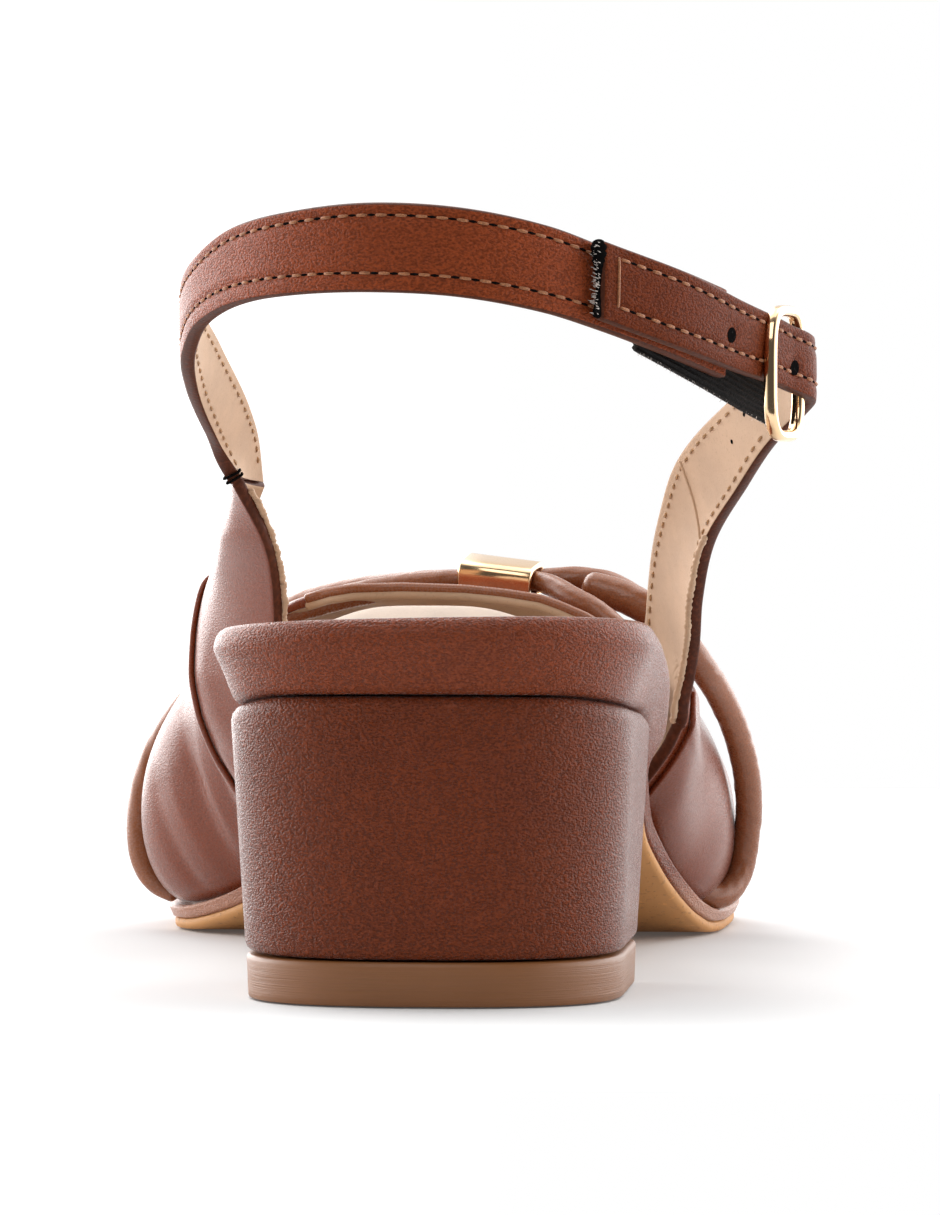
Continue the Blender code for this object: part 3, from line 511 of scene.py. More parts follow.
def ease(share):
    """Smooth rise from 0 to 1."""
    share = np.clip(share, 0, 1)
    return share * share * (3 - 2 * share)


def unit(vectors):
    return vectors / np.maximum(np.linalg.norm(vectors, axis=-1, keepdims=True), 1e-9)


def vamp_surface(y, around):
    """Points of the vamp's outside on the sections at y; around runs from inner to outer foot."""
    y, around = np.broadcast_arrays(np.asarray(y, float), np.asarray(around, float))
    left, right = sole_edges(y)
    inner = around < 0.5
    foot = rim(y) + GAP

    def side(column):
        return np.where(inner, VAMP.at(y, "inner_" + column), VAMP.at(y, "outer_" + column))

    crest_x, crest_z = VAMP.at(y, "crest_x"), VAMP.at(y, "crest_z")
    waist, out, square = foot + side("waist"), side("out"), side("square")
    reach = np.where(inner, crest_x - left - INNER_FEATHER, right - OUTER_FEATHER - crest_x) + out
    share = 2 * np.minimum(around, 1 - around)
    low = (1 - np.clip(share / VAMP_TUCK, 0, 1)) * math.pi / 2
    high = np.clip((share - VAMP_TUCK) / (1 - VAMP_TUCK), 0, 1) * math.pi / 2
    tucked = share < VAMP_TUCK
    x = np.where(tucked, reach - out * (1 - np.cos(low)), reach * np.cos(high) ** (2 / square))
    z = np.where(tucked, waist - (waist - foot) * np.sin(low),
                 waist + (crest_z - waist) * np.sin(high) ** (2 / square))
    x = np.where(inner, crest_x - x, crest_x + x)
    aside, ahead = (x - BEAD_PLACE[0]) / BEAD_DIP_REACH, (y - BEAD_PLACE[1]) / BEAD_DIP_REACH
    return np.stack((x, y, z - BEAD_DIP * np.exp(-aside ** 2 - ahead ** 2)), axis=-1)


def vamp_side(y, z, side):
    """Sideways place of the vamp's outside at a height; side is -1 for inner and 1 for outer."""
    around = np.linspace(0, 0.27, 300)
    places = vamp_surface(y, around if side < 0 else 1 - around)
    return np.interp(z, places[:, 2], places[:, 0])


def lengths(points):
    """Length along a polyline at each of its points."""
    return np.concatenate(((0,), np.cumsum(np.linalg.norm(np.diff(points, axis=0), axis=1))))


def through(points, count):
    """Points spaced evenly along a smooth curve through the given points."""
    points = np.array(points, dtype=float)
    chord = lengths(points)
    tangents = np.gradient(points, chord, axis=0)
    curve = smooth_between(chord, points, tangents, np.linspace(0, chord[-1], 40 * len(points)))
    return evenly(curve, count)


def evenly(line, count):
    """Points spaced evenly along a polyline."""
    walk = lengths(line)
    even = np.linspace(0, walk[-1], count)
    return np.column_stack([np.interp(even, walk, line[:, i]) for i in range(3)])


def ribbon_grid(rows, side, count, columns, step=0.0):
    """Grid of points on a ribbon's inside, from rows of its two edges and its fullness.

    An edge with no x lies on the vamp, drawn in by step.
    """
    rear, front, full = [], [], []
    for rear_x, rear_y, rear_z, front_x, front_y, front_z, fullness in rows:
        if front_x is None:
            front_x = vamp_side(front_y, front_z, side) - side * step
        rear.append((rear_x, rear_y, rear_z))
        front.append((front_x, front_y, front_z))
        full.append(fullness)
    rear, front = np.array(rear), np.array(front)
    chord = lengths((rear + front) / 2)
    stops = np.linspace(0, chord[-1], count)
    a, b = (smooth_between(chord, edge, np.gradient(edge, chord, axis=0), stops) for edge in (rear, front))
    swell = np.interp(stops, chord, full)
    across = b - a
    outward = np.column_stack((across[:, 1], -across[:, 0], np.zeros(count)))
    outward *= np.where(across[:, 1:2] >= 0, side, -side)
    outward = unit(outward)
    share = np.linspace(0, 1, columns)[None, :, None]
    bulge = (4 * share * (1 - share)) * swell[:, None, None]
    return a[:, None] + across[:, None] * share + outward[:, None] * bulge


def grid_normals(grid):
    along, across = np.gradient(grid, axis=0), np.gradient(grid, axis=1)
    return unit(np.cross(across, along))


def turns_of(count):
    """Angles of a whole turn in even steps."""
    return np.arange(count) * 2 * math.pi / count


def squared(turns, square):
    """Cosine and sine of turns, drawn out towards a square as square falls under 1."""
    return [np.sign(part) * np.abs(part) ** square for part in (np.cos(turns), np.sin(turns))]


def grid_quads(index):
    """Faces between the rows and columns of a grid of point numbers."""
    return np.stack((index[:-1, :-1], index[:-1, 1:], index[1:, 1:], index[1:, :-1]), -1).reshape(-1, 4)


def hoop_quads(near, far):
    """Faces between rings of point numbers and the rings that follow them."""
    return np.stack((near, np.roll(near, -1, 1), np.roll(far, -1, 1), far), -1).reshape(-1, 4).tolist()


def loop_quads(count, sides):
    """Faces of a closed loop of rings."""
    index = np.arange(count * sides).reshape(count, sides)
    return hoop_quads(index, np.roll(index, -1, axis=0))


class Sheet:
    """Leather wall between an outside and an inside grid of points, with lengths along both."""

    def __init__(self, outside, normal, wall):
        self.outside, self.normal, self.wall = outside, normal, wall

    @property
    def inside(self):
        return self.outside - self.normal * np.asarray(self.wall)

    def at(self, row, column, lift=0.0, inner=False):
        """Points and outward normals at fractional rows and columns of the grid, as shares of it."""
        grid = self.inside if inner else self.outside
        rows, columns = grid.shape[:2]
        r = np.clip(np.asarray(row) * (rows - 1), 0, rows - 1.001)
        c = np.clip(np.asarray(column) * (columns - 1), 0, columns - 1.001)
        i, k = r.astype(int), c.astype(int)
        u, v = (r - i)[:, None], (c - k)[:, None]

        def blend(values):
            return ((values[i, k] * (1 - v) + values[i, k + 1] * v) * (1 - u)
                    + (values[i + 1, k] * (1 - v) + values[i + 1, k + 1] * v) * u)

        normals = unit(blend(self.normal)) * (-1 if inner else 1)
        return blend(grid) + normals * lift, normals

    def press(self, lines):
        """Move the outside in or out along lines: rows of start, end, width and depth (minus is out)."""
        for start, end, width, depth in lines:
            start, end = np.array(start, float), np.array(end, float)
            span = end - start
            share = np.clip(((self.outside - start) @ span) / (span @ span), 0, 1)
            away = np.linalg.norm(self.outside - start - share[..., None] * span, axis=-1)
            fade = np.sin(math.pi * np.clip(share * 0.9 + 0.05, 0, 1)) ** 0.7
            push = depth * fade * np.exp(-(away / width) ** 2)
            self.outside = self.outside - self.normal * push[..., None]

    def mesh(self, roundness=EDGE_ROUND):
        """Closed wall with rounded edges: points, faces, and 0 outside, 1 edge or 2 inside per face."""
        outer, inner = self.outside, self.inside
        rows, columns = outer.shape[:2]
        back = rows * columns
        index = np.arange(back).reshape(rows, columns)
        quads = grid_quads(index)
        points = [outer.reshape(-1, 3), inner.reshape(-1, 3)]
        faces = quads.tolist() + (quads[:, ::-1] + back).tolist()
        kinds = [0] * len(quads) + [2] * len(quads)
        loop = np.concatenate((index[0, :], index[1:, -1], index[-1, -2::-1], index[-2:0:-1, 0]))
        along, across = np.gradient(outer, axis=0), np.gradient(outer, axis=1)
        off = np.zeros_like(outer)
        off[0] -= unit(along[0])
        off[-1] += unit(along[-1])
        off[:, 0] -= unit(across[:, 0])
        off[:, -1] += unit(across[:, -1])
        off = unit(off).reshape(-1, 3)[loop]
        a, b = points[0][loop], points[1][loop]
        middle, half = (a + b) / 2, (a - b) / 2
        reach = np.linalg.norm(half, axis=1, keepdims=True) * roundness
        rings = [loop]
        start = 2 * back
        for step in range(1, EDGE_STEPS):
            turn = math.pi * step / EDGE_STEPS
            points.append(middle + half * math.cos(turn) + off * reach * math.sin(turn))
            rings.append(np.arange(start, start + len(loop)))
            start += len(loop)
        rings.append(loop + back)
        for near, far in zip(rings[:-1], rings[1:]):
            strip = np.stack((near, far, np.roll(far, -1), np.roll(near, -1)), -1)
            faces += strip.tolist()
            kinds += [1] * len(strip)
        return np.concatenate(points), faces, kinds


def ribbon_sheet(rows, side, wall, count, columns, step=0.0, grows=1, heart=FOOT_MIDDLE):
    """Sheet over a ribbon's rows, facing away from heart.

    grows is 1 where the rows are its inside and -1 where they are its outside.
    """
    grid = ribbon_grid(rows, side, count, columns, step)
    normal = grid_normals(grid)
    middle = grid[count // 2, columns // 2]
    away = (middle - np.array(heart)) * (1, 1, 0)
    if normal[count // 2, columns // 2] @ away < 0:
        normal = -normal
    return Sheet(grid + normal * wall if grows > 0 else grid, normal, wall)


def tube(path, radii, sides, guide=(0.0, 0.0, 1.0), shape=lambda turn, at: 1.0):
    """Closed tube with domed ends; shape scales the radius by the turn round it and the length share."""
    path, radii = np.asarray(path, float), np.broadcast_to(np.asarray(radii, float), len(path))
    tangents = unit(np.gradient(path, axis=0))
    dome = np.sin(np.linspace(0.15, math.pi / 2, 5))[:-1]

    def domed(end, way, shares, at):
        return [(path[end] + way * tangents[end] * radii[end] * DOME * math.sqrt(1 - d * d), tangents[end],
                 radii[end] * d, at) for d in shares]

    stops = domed(0, -1, dome, 0.0)
    stops += [(p, t, r, i / (len(path) - 1)) for i, (p, t, r) in enumerate(zip(path, tangents, radii))]
    stops += domed(-1, 1, dome[::-1], 1.0)
    guide = np.array(guide, float)
    turns = turns_of(sides)
    cosines, sines = np.cos(turns)[:, None], np.sin(turns)[:, None]
    points = []
    for centre, tangent, radius, at in stops:
        guide = unit(guide - tangent * (guide @ tangent))
        other = np.cross(tangent, guide)
        scale = np.array([shape(turn, at) for turn in turns]) * radius
        points.append(centre + (guide * cosines + other * sines) * scale[:, None])
    rings = np.arange(len(points) * sides).reshape(len(points), sides)
    faces = hoop_quads(rings[:-1], rings[1:]) + [rings[0][::-1].tolist(), rings[-1].tolist()]
    return np.concatenate(points), faces


def gather(meshes):
    """Several meshes as one: points and faces."""
    points, faces, base = [], [], 0
    for verts, polygons in meshes:
        points.append(verts)
        faces += [[i + base for i in face] for face in polygons]
        base += len(verts)
    return np.concatenate(points), faces


def make(name, mesh, *finishes, node=None, slot=None):
    """Object on the shoe's body from points in millimetres, faces and, for several finishes, kinds of face.

    node is the solid that it stands for; slot is not used.
    """
    points, faces, *kinds = mesh
    data = bpy.data.meshes.new(name)
    data.from_pydata((np.asarray(points) * MM).tolist(), [], faces)
    work = bmesh.new()
    work.from_mesh(data)
    bmesh.ops.recalc_face_normals(work, faces=work.faces)
    if work.calc_volume(signed=True) < 0:
        bmesh.ops.reverse_faces(work, faces=work.faces)
    work.to_mesh(data)
    work.free()
    data.shade_smooth()
    data.set_sharp_from_angle(angle=math.radians(SMOOTH_ANGLE))
    for title in finishes:
        data.materials.append(finish(title))
    if len(finishes) > 1:
        data.polygons.foreach_set("material_index", np.asarray(kinds[0], dtype=np.int32))
    piece = bpy.data.objects.new(name, data)
    bpy.context.collection.objects.link(piece)
    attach(piece, "root")
    if node:
        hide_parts(node)
    return piece


def crowd(start, end, count):
    """Values from start to end, closer together at both ends."""
    return start + (end - start) * (1 - np.cos(np.linspace(0, math.pi, count))) / 2


def outline(edges, stations, inset):
    """Plan points round an outline, up its inner side and back down its outer, drawn in by inset."""
    inner, outer = edges(stations)
    loop = np.concatenate((np.column_stack((inner, stations)), np.column_stack((outer, stations))[::-1]))
    along = unit(np.roll(loop, -1, axis=0) - np.roll(loop, 1, axis=0))
    inward = np.column_stack((along[:, 1], -along[:, 0]))
    return loop + inward * inset(loop[:, 1])[:, None]


def stack(rings, columns=8, crown=None):
    """Closed solid through rings from below up; crown lifts the middle of its top."""
    size = len(rings[0])
    half = size // 2
    points, faces = [np.concatenate(rings)], []
    index = np.arange(len(rings) * size).reshape(len(rings), size)
    low, high = index[:-1], index[1:]
    walls = np.stack((low, high, np.roll(high, -1, 1), np.roll(low, -1, 1)), -1).reshape(-1, 4)
    faces += walls.tolist()
    kinds = [0] * len(faces)
    start = len(rings) * size
    share = np.linspace(0, 1, columns + 1)[None, 1:-1, None]
    for ring, place, top in ((rings[0], index[0], False), (rings[-1], index[-1], True)):
        left, right = ring[:half], ring[half:][::-1]
        inside = left[:, None] + (right - left)[:, None] * share
        if top and crown:
            along = left[:, 1:2]
            ends = ease((along - left[0, 1]) / CROWN_ENDS) * ease((left[-1, 1] - along) / CROWN_ENDS)
            fall = np.exp(-(CROWN_FALL * (2 * share[..., 0] - 1)) ** 4)
            inside[..., 2] += crown(inside[..., 1]) * ends * fall
        points.append(inside.reshape(-1, 3))
        cells = start + np.arange(half * (columns - 1)).reshape(half, columns - 1)
        start += cells.size
        grid = np.column_stack((place[:half], cells, place[half:][::-1]))
        quads = grid_quads(grid)
        faces += (quads if top else quads[:, ::-1]).tolist()
        kinds += [2 if top else 1] * len(quads)
    return np.concatenate(points), faces, kinds


def heel_ring(half, back, front, height):
    """Outline of the heel at one height: round at the back, with small front corners."""
    def edges(y):
        width = half * end_round((back + HEEL_ROUND - y) / HEEL_ROUND, HEEL_SQUARE)
        width = width - HEEL_CORNER * (1 - end_round((y - front + HEEL_CORNER) / HEEL_CORNER, 2.0))
        return -width, width

    plan = outline(edges, crowd(back + 0.004, front - 0.01, HEEL_COUNT), np.zeros_like)
    return np.column_stack((plan, height(plan[:, 1])))


def stitches(sheet, row, column, pitch, thread, inner=False):
    """Thread stitches and their needle holes along a line on a sheet; row and column are shares of it."""
    row, column = np.broadcast_arrays(np.asarray(row, float), np.asarray(column, float))
    line, _ = sheet.at(row, column, inner=inner)
    walk = lengths(line)
    count = max(int(walk[-1] / pitch), 1)
    threads, holes = [], []
    for i in range(count):
        ends = (np.array((i + (1 - STITCH_RUN) / 2, i + (1 + STITCH_RUN) / 2)) / count) * walk[-1]
        at = np.linspace(ends[0], ends[1], STITCH_STEPS)
        rows, columns = np.interp(at, walk, row), np.interp(at, walk, column)
        places, normals = sheet.at(rows, columns, inner=inner)
        rise = np.sin(np.linspace(0, math.pi, STITCH_STEPS)) ** 0.6
        middle = places + normals * (thread * (1.15 * rise - 0.75))[:, None]
        threads.append(tube(middle, thread * (0.55 + 0.45 * rise), THREAD_SIDES, normals[0]))
        # Needle holes: dark tubes just under the surface between stitches, painted shade of the holes
        edge = (i / count) * walk[-1]
        at = np.array((edge - 0.5, edge, edge + 0.5))
        rows, columns = np.interp(at, walk, row), np.interp(at, walk, column)
        places, normals = sheet.at(rows, columns, lift=-0.1, inner=inner)
        holes.append(tube(places, (thread * 0.7, thread, thread * 0.7), THREAD_SIDES, normals[0]))
    return gather(threads), gather(holes)


class Value:
    """A number of a shader that can differ over the surface; arithmetic on it adds Math nodes."""

    def __init__(self, nodes, socket):
        self.nodes, self.socket = nodes, socket

    def math(self, operation, first, second):
        return self.nodes.node("ShaderNodeMath", {"operation": operation}, {0: first, 1: second})

    def __add__(self, other):
        return self.math("ADD", self, other)

    __radd__ = __add__

    def __sub__(self, other):
        return self.math("SUBTRACT", self, other)

    def __rsub__(self, other):
        return self.math("SUBTRACT", other, self)

    def __mul__(self, other):
        return self.math("MULTIPLY", self, other)

    __rmul__ = __mul__

    def __pow__(self, other):
        return self.math("POWER", self, other)

    def clamp(self, low, high):
        """0 at low and under, 1 at high and over."""
        return self.nodes.node("ShaderNodeMapRange", {"interpolation_type": "SMOOTHSTEP"},
                               {"Value": self, "From Min": low, "From Max": high})


class Nodes:
    """Node tree of a material or of the surround; every node comes from one method."""

    def __init__(self, tree):
        self.tree = tree

    def plug(self, socket, operand):
        """Link a value to a socket, or set the number or colour on it."""
        if isinstance(operand, Value):
            self.tree.links.new(operand.socket, socket)
        elif socket.type == "RGBA" and len(operand) == 3:
            socket.default_value = (*operand, 1.0)
        else:
            socket.default_value = operand

    def node(self, kind, settings=(), sockets=(), output=0):
        """Output of a new node of that type: its settings, then its sockets' values or links."""
        node = self.tree.nodes.new(kind)
        for name, setting in dict(settings).items():
            setattr(node, name, setting)
        for name, operand in dict(sockets).items():
            self.plug(node.inputs[name], operand)
        return Value(self, node.outputs[output])


class Look(Nodes):
    """One material with a Principled shader; constants are set on the shader's own sockets."""

    def __init__(self, name, **constants):
        self.material = bpy.data.materials.new(name)
        self.material.use_nodes = True
        super().__init__(self.material.node_tree)
        self.shader = self.tree.nodes["Principled BSDF"]
        for socket, constant in constants.items():
            self.plug(self.shader.inputs[socket.replace("_", " ")], constant)
        self.place = self.node("ShaderNodeTexCoord", output="Object")

    def stretched(self, scale, turn=(0.0, 0.0, 0.0)):
        """Place on the shoe, scaled and turned, to draw a texture out along an axis."""
        return self.node("ShaderNodeMapping", (), {"Vector": self.place, "Scale": scale, "Rotation": turn})

    def noise(self, grain, detail=2.0, roughness=0.5, place=None):
        """Soft noise from about 0 to 1, with features of about grain metres."""
        return self.node("ShaderNodeTexNoise", (), {"Vector": place or self.place, "Scale": 1 / grain,
                                                    "Detail": detail, "Roughness": roughness})

    def dots(self, grain):
        """Distance to the middle of irregular cells of about grain metres."""
        return self.node("ShaderNodeTexVoronoi", {"feature": "F1"},
                         {"Vector": self.place, "Scale": 1 / grain}, "Distance")

    def blend(self, factor, first, second):
        """Colour between two colours."""
        return self.node("ShaderNodeMix", {"data_type": "RGBA"},
                         {MIX_FACTOR: factor, MIX_FIRST: first, MIX_SECOND: second}, MIX_COLOUR)

    def done(self, colour, height, relief, roughness=None):
        """The material, with its colour, its roughness and surface relief of up to relief metres."""
        self.plug(self.shader.inputs["Base Color"], colour)
        if roughness:
            self.plug(self.shader.inputs["Roughness"], roughness)
        bump = self.node("ShaderNodeBump", (), {"Height": height, "Distance": relief, "Strength": 1.0})
        self.plug(self.shader.inputs["Normal"], bump)
        return self.material


def shade(colour, amount):
    """A colour made darker or lighter."""
    return tuple(min(part * amount, 1.0) for part in colour)


def leather(name, colour, relief, rough, shine, crisp, sheen, low=None):
    """Brown grained leather: pebbles with fine valleys painted darker as shade, pores, faint mottling and a
    soft shine.

    low names the colour that it takes near the floor: a lighter tone painted for the light bounced up from
    the floor.
    """
    scene = bpy.context.scene
    grain = scene.sandal_sizes.grain
    look = Look(name, Sheen_Weight=sheen, Sheen_Roughness=0.22, Specular_IOR_Level=shine)
    pebble = look.noise(grain * 0.8, 1.0, 0.4).clamp(0.36, 0.62)
    level = look.stretched((1.0, 1.0, 1.9), (0.0, 0.3, 0.0))
    worm = look.noise(grain * 1.15, 1.0, 0.4, level).clamp(0.37, 0.61)
    mottle = look.noise(0.016, 3.0, 0.55)
    pores = look.noise(0.00022, 1.0).clamp(0.64, 0.74)
    raised = pebble * 0.4 + worm * 0.6
    tone = look.blend(mottle.clamp(0.3, 0.7), shade(colour, 1.05), shade(colour, 1.17))
    # Painted shade: the valleys between the raised grain are darkened in the colour
    tone = look.blend((1 - raised) * (0.8 * crisp), tone, shade(colour, 0.4))
    # Painted light: near the floor the leather turns to the pale colour named by low, standing for light
    # bounced up from the floor
    if low:
        above = look.node("ShaderNodeSeparateXYZ", (), {"Vector": look.place}, "Z")
        tone = look.blend(above.clamp(*FLOOR_BOUNCE_SPAN), getattr(scene.sandal_colours, low), tone)
    return look.done(tone, raised * crisp - pores * 0.25, relief, rough + 0.08 * mottle - 0.08 * pebble)


def lining(name, colour):
    """Matt lining leather: warm beige with pores and a faint uneven tint."""
    look = Look(name, Sheen_Weight=0.1)
    mottle = look.noise(0.009, 4.0, 0.6)
    pores = look.noise(0.0004, 2.0, 0.6)
    fibre = look.noise(0.00016, 2.0)
    tone = look.blend(mottle.clamp(0.3, 0.72), shade(colour, 0.9), shade(colour, 1.06))
    tone = look.blend(pores.clamp(0.58, 0.72) * 0.5, tone, shade(colour, 0.72))
    return look.done(tone, pores * 0.7 + fibre * 0.5, 0.00004, 0.62 + 0.2 * pores)


def edge_paint(name, colour):
    """Cut leather edge under dark paint: slightly uneven and half glossy."""
    look = Look(name, Specular_IOR_Level=0.15)
    fleck = look.noise(0.0007, 3.0, 0.65)
    tone = look.blend(fleck.clamp(0.4, 0.75), shade(colour, 0.55), shade(colour, 1.05))
    return look.done(tone, fleck, 0.00008, 0.38 + 0.25 * fleck)


def hollow(name, colour):
    """Inside of a hole or the dark core of the tail's raw end, with no shine: near-black painted shade
    where no light reaches in.
    """
    look = Look(name, Specular_IOR_Level=0.0, Roughness=1.0)
    lint = look.noise(0.0005, 3.0, 0.7)
    tone = look.blend(lint.clamp(0.55, 0.8), shade(colour, 0.5), shade(colour, 2.5))
    return look.done(tone, lint, 0.0002)


def gum(name, colour):
    """Moulded gum lift: fine level trimming lines and a faint cloud of colour."""
    look = Look(name, Coat_Weight=0.05, Coat_Roughness=0.25)
    lines = look.noise(0.0009, 3.0, 0.7, look.stretched((0.05, 0.05, 5.0)))
    cloud = look.noise(0.012, 3.0)
    tone = look.blend(0.55 * lines + 0.45 * cloud, shade(colour, 0.78), shade(colour, 1.2))
    return look.done(tone, lines, 0.00006, 0.3 + 0.22 * lines)


def speckled(name, colour):
    """Tan sole sheet with dark and pale specks."""
    look = Look(name)
    dark = look.noise(0.0009, 2.0, 0.6).clamp(0.6, 0.7)
    pale = look.noise(0.0013, 2.0, 0.6).clamp(0.62, 0.72)
    scuff = look.noise(0.006, 4.0, 0.7, look.stretched((1.0, 0.25, 1.0)))
    tone = look.blend(dark * 0.55, colour, shade(colour, 0.5))
    tone = look.blend(pale * 0.5, tone, shade(colour, 1.5))
    tone = look.blend(scuff.clamp(0.45, 0.8) * 0.4, tone, shade(colour, 0.7))
    return look.done(tone, dark + scuff * 0.6, 0.00007, 0.55 + 0.2 * scuff)


def metal(name, colour, dull):
    """Polished plated metal with faint handling marks."""
    look = Look(name, Metallic=1.0)
    marks = look.noise(0.0016, 4.0, 0.7, look.stretched((1.0, 1.0, 6.0), (0.5, 0.3, 0.0)))
    haze = look.noise(0.004, 3.0)
    tone = look.blend(haze, shade(colour, 0.94), shade(colour, 1.05))
    return look.done(tone, marks, 0.000006, dull + 0.1 * marks.clamp(0.5, 0.8))


def webbing(name, colour):
    """Black knitted elastic: fine yarn noise over modelled ribs."""
    look = Look(name, Specular_IOR_Level=0.2)
    dust = look.noise(0.0006, 3.0, 0.7)
    tone = look.blend(dust.clamp(0.6, 0.8) * 0.3, colour, LINT)
    return look.done(tone, look.dots(0.00034), 0.00012, 0.72 + 0.2 * dust)


def yarn(name, colour):
    """Twisted sewing thread or loose fibres."""
    look = Look(name, Sheen_Weight=0.3)
    twist = look.noise(0.00022, 2.0, 0.5, look.stretched((1.0, 1.0, 1.0), (0.6, 0.4, 0.7)))
    tone = look.blend(twist.clamp(0.35, 0.7), shade(colour, 0.6), shade(colour, 1.15))
    return look.done(tone, twist, 0.00005, 0.55 + 0.25 * twist)


class SandalSizes(bpy.types.PropertyGroup):
    """Sizes of the stitching and of the leather's soft relief."""

    stitch_pitch: FloatProperty(name="Stitch pitch", description="Length from one stitch to the next",
                                default=0.0027, min=0.001, unit="LENGTH")
    thread: FloatProperty(name="Thread radius", description="Half the thickness of the sewing thread",
                          default=0.00024, min=0.00005, unit="LENGTH")
    grain: FloatProperty(name="Leather grain", description="Width of one pebble of the leather's grain",
                         default=0.00042, min=0.0001, unit="LENGTH")
    pleats: FloatProperty(name="Pleats", description="Depth of the folds drawn into the leather",
                          default=1.0, min=0.0, max=2.0, subtype="FACTOR")


def tint(name, description, default):
    """Property that holds a colour as linear light."""
    return FloatVectorProperty(name=name, description=description, default=default, size=3, subtype="COLOR",
                               min=0, max=1)


class SandalColours(bpy.types.PropertyGroup):
    """Colours of the finishes, as linear light."""

    leather: tint("Leather", "Brown of the upper and heel", (0.225, 0.044, 0.0125))
    edge: tint("Cut edge", "Dark paint on cut edges", (0.115, 0.030, 0.013))
    cord: tint("Cord", "Brown of the rolled cords", (0.26, 0.088, 0.036))
    # Rand: a paler brown painted on the lowest band of the seat's leather wrap for light bounced up from
    # the floor
    rand: tint("Rand", "Paler brown of the sole's wrapped edge", (0.45, 0.215, 0.14))
    lining: tint("Lining", "Beige of the lining", (0.51, 0.335, 0.215))
    insole: tint("Insole", "Cream of the sock lining", (0.50, 0.39, 0.31))
    gum: tint("Top lift", "Brown of the tread piece", (0.215, 0.08, 0.022))
    sole: tint("Sole", "Tan of the outsole", (0.55, 0.26, 0.082))
    gold: tint("Metal", "Plating of the buckle and bead", (0.86, 0.60, 0.36))
    elastic: tint("Elastic", "Black of the webbing", (0.012, 0.011, 0.011))
    thread: tint("Thread", "Orange tan of the stitches", (0.42, 0.155, 0.055))
    lining_thread: tint("Lining thread", "Golden tan of the lining's stitches", (0.44, 0.235, 0.095))
    fibre: tint("Fibre", "Pale grey of loose fibres", (0.62, 0.55, 0.5))


# Finishes: how each is made, its colour and how much lighter it is, then the values of its kind:
# for leather the relief, roughness, shine, crispness of the grain and sheen, for metal its dullness
FINISHES = {
    # Painted light and shade: heel, seat, upper, strap and tail are one leather, made lighter or darker for
    # how light falls on each piece, the strap lightest and the tail darkest
    "heel_leather": (leather, "leather", 0.72, 0.00016, 0.24, 0.15, 1.0, 0.1),
    "seat_leather": (leather, "leather", 0.95, 0.00014, 0.24, 0.2, 1.0, 0.15, "rand"),
    "upper_leather": (leather, "leather", 0.82, 0.00005, 0.3, 0.42, 0.5, 0.4),
    "cord_leather": (leather, "cord", 0.98, 0.00003, 0.28, 0.5, 0.4, 0.3),
    "strap_leather": (leather, "leather", 1.2, 0.0001, 0.38, 0.1, 1.0, 0.05),
    "tail_leather": (leather, "leather", 0.66, 0.00007, 0.38, 0.05, 1.0, 0.0),
    "cut_edge": (edge_paint, "edge", 1.0),
    "beige_lining": (lining, "lining", 1.0),
    "cream_sock": (lining, "insole", 1.0),
    "gum_lift": (gum, "gum", 1.0),
    "tan_sole": (speckled, "sole", 1.0),
    "pale_gold": (metal, "gold", 1.0, 0.1),
    "bead_gold": (metal, "gold", 0.95, 0.14),
    "black_elastic": (webbing, "elastic", 1.0),
    "tan_thread": (yarn, "thread", 1.0),
    "lining_thread": (yarn, "lining_thread", 1.0),
    "pale_fibre": (yarn, "fibre", 1.0),
    # Near-black finish of holes and the tail's end slit: painted shade
    "needle_hole": (hollow, "elastic", 1.0),
}


def finish(name):
    """Material of a finish, made once from the scene's colours."""
    kind, hue, amount, *values = FINISHES[name]
    hue = getattr(bpy.context.scene.sandal_colours, hue)
    return bpy.data.materials.get(name) or kind(name, shade(hue, amount), *values)


def corner_drop(ring):
    """How far the seam between the seat and the heel dips towards its rear corners."""
    aside = ease((np.abs(ring[:, 0]) - CORNER_START) / CORNER_REACH)
    return CORNER_DROP * aside * (1 - ease((ring[:, 1] - SEAT_BACK - CORNER_FADE) / CORNER_FADE))


class SANDAL_OT_heel(bpy.types.Operator):
    """Covered block heel and the gum lift under it"""

    bl_idname = "sandal.heel"
    bl_label = "Heel"

    def execute(self, context):
        back, front = -TREAD_LENGTH / 2, TREAD_LENGTH / 2
        rings = []
        for height, draw_in in LIFT_SIDE:
            grow = LIFT_FLARE * height / LIFT_HEIGHT
            rings.append(heel_ring(TREAD_HALF_WIDTH + grow - draw_in, back - grow + draw_in,
                                   front + grow - draw_in, lambda y, z=height: np.full_like(y, z)))
        make("heel_lift", stack(rings), "gum_lift", node="top_lift")
        low = LIFT_HEIGHT + GAP
        rings = []
        for share, draw_in in COVER_SIDE:
            half = TREAD_HALF_WIDTH + GAP + (HEEL_TOP_HALF_WIDTH - TREAD_HALF_WIDTH - GAP) * share
            rear = back - GAP + (HEEL_TOP_BACK - back + GAP) * share
            ahead = front + (HEEL_TOP_FRONT - front) * share

            def height(y, share=share):
                return low + share * (SOLE.at(y, "under") - GAP - low)

            ring = heel_ring(half - draw_in, rear + draw_in, ahead - draw_in, height)
            ring[:, 2] -= corner_drop(ring) * share
            rings.append(ring)
        make("heel_cover", stack(rings), "heel_leather", node="heel_block")
        return {"FINISHED"}


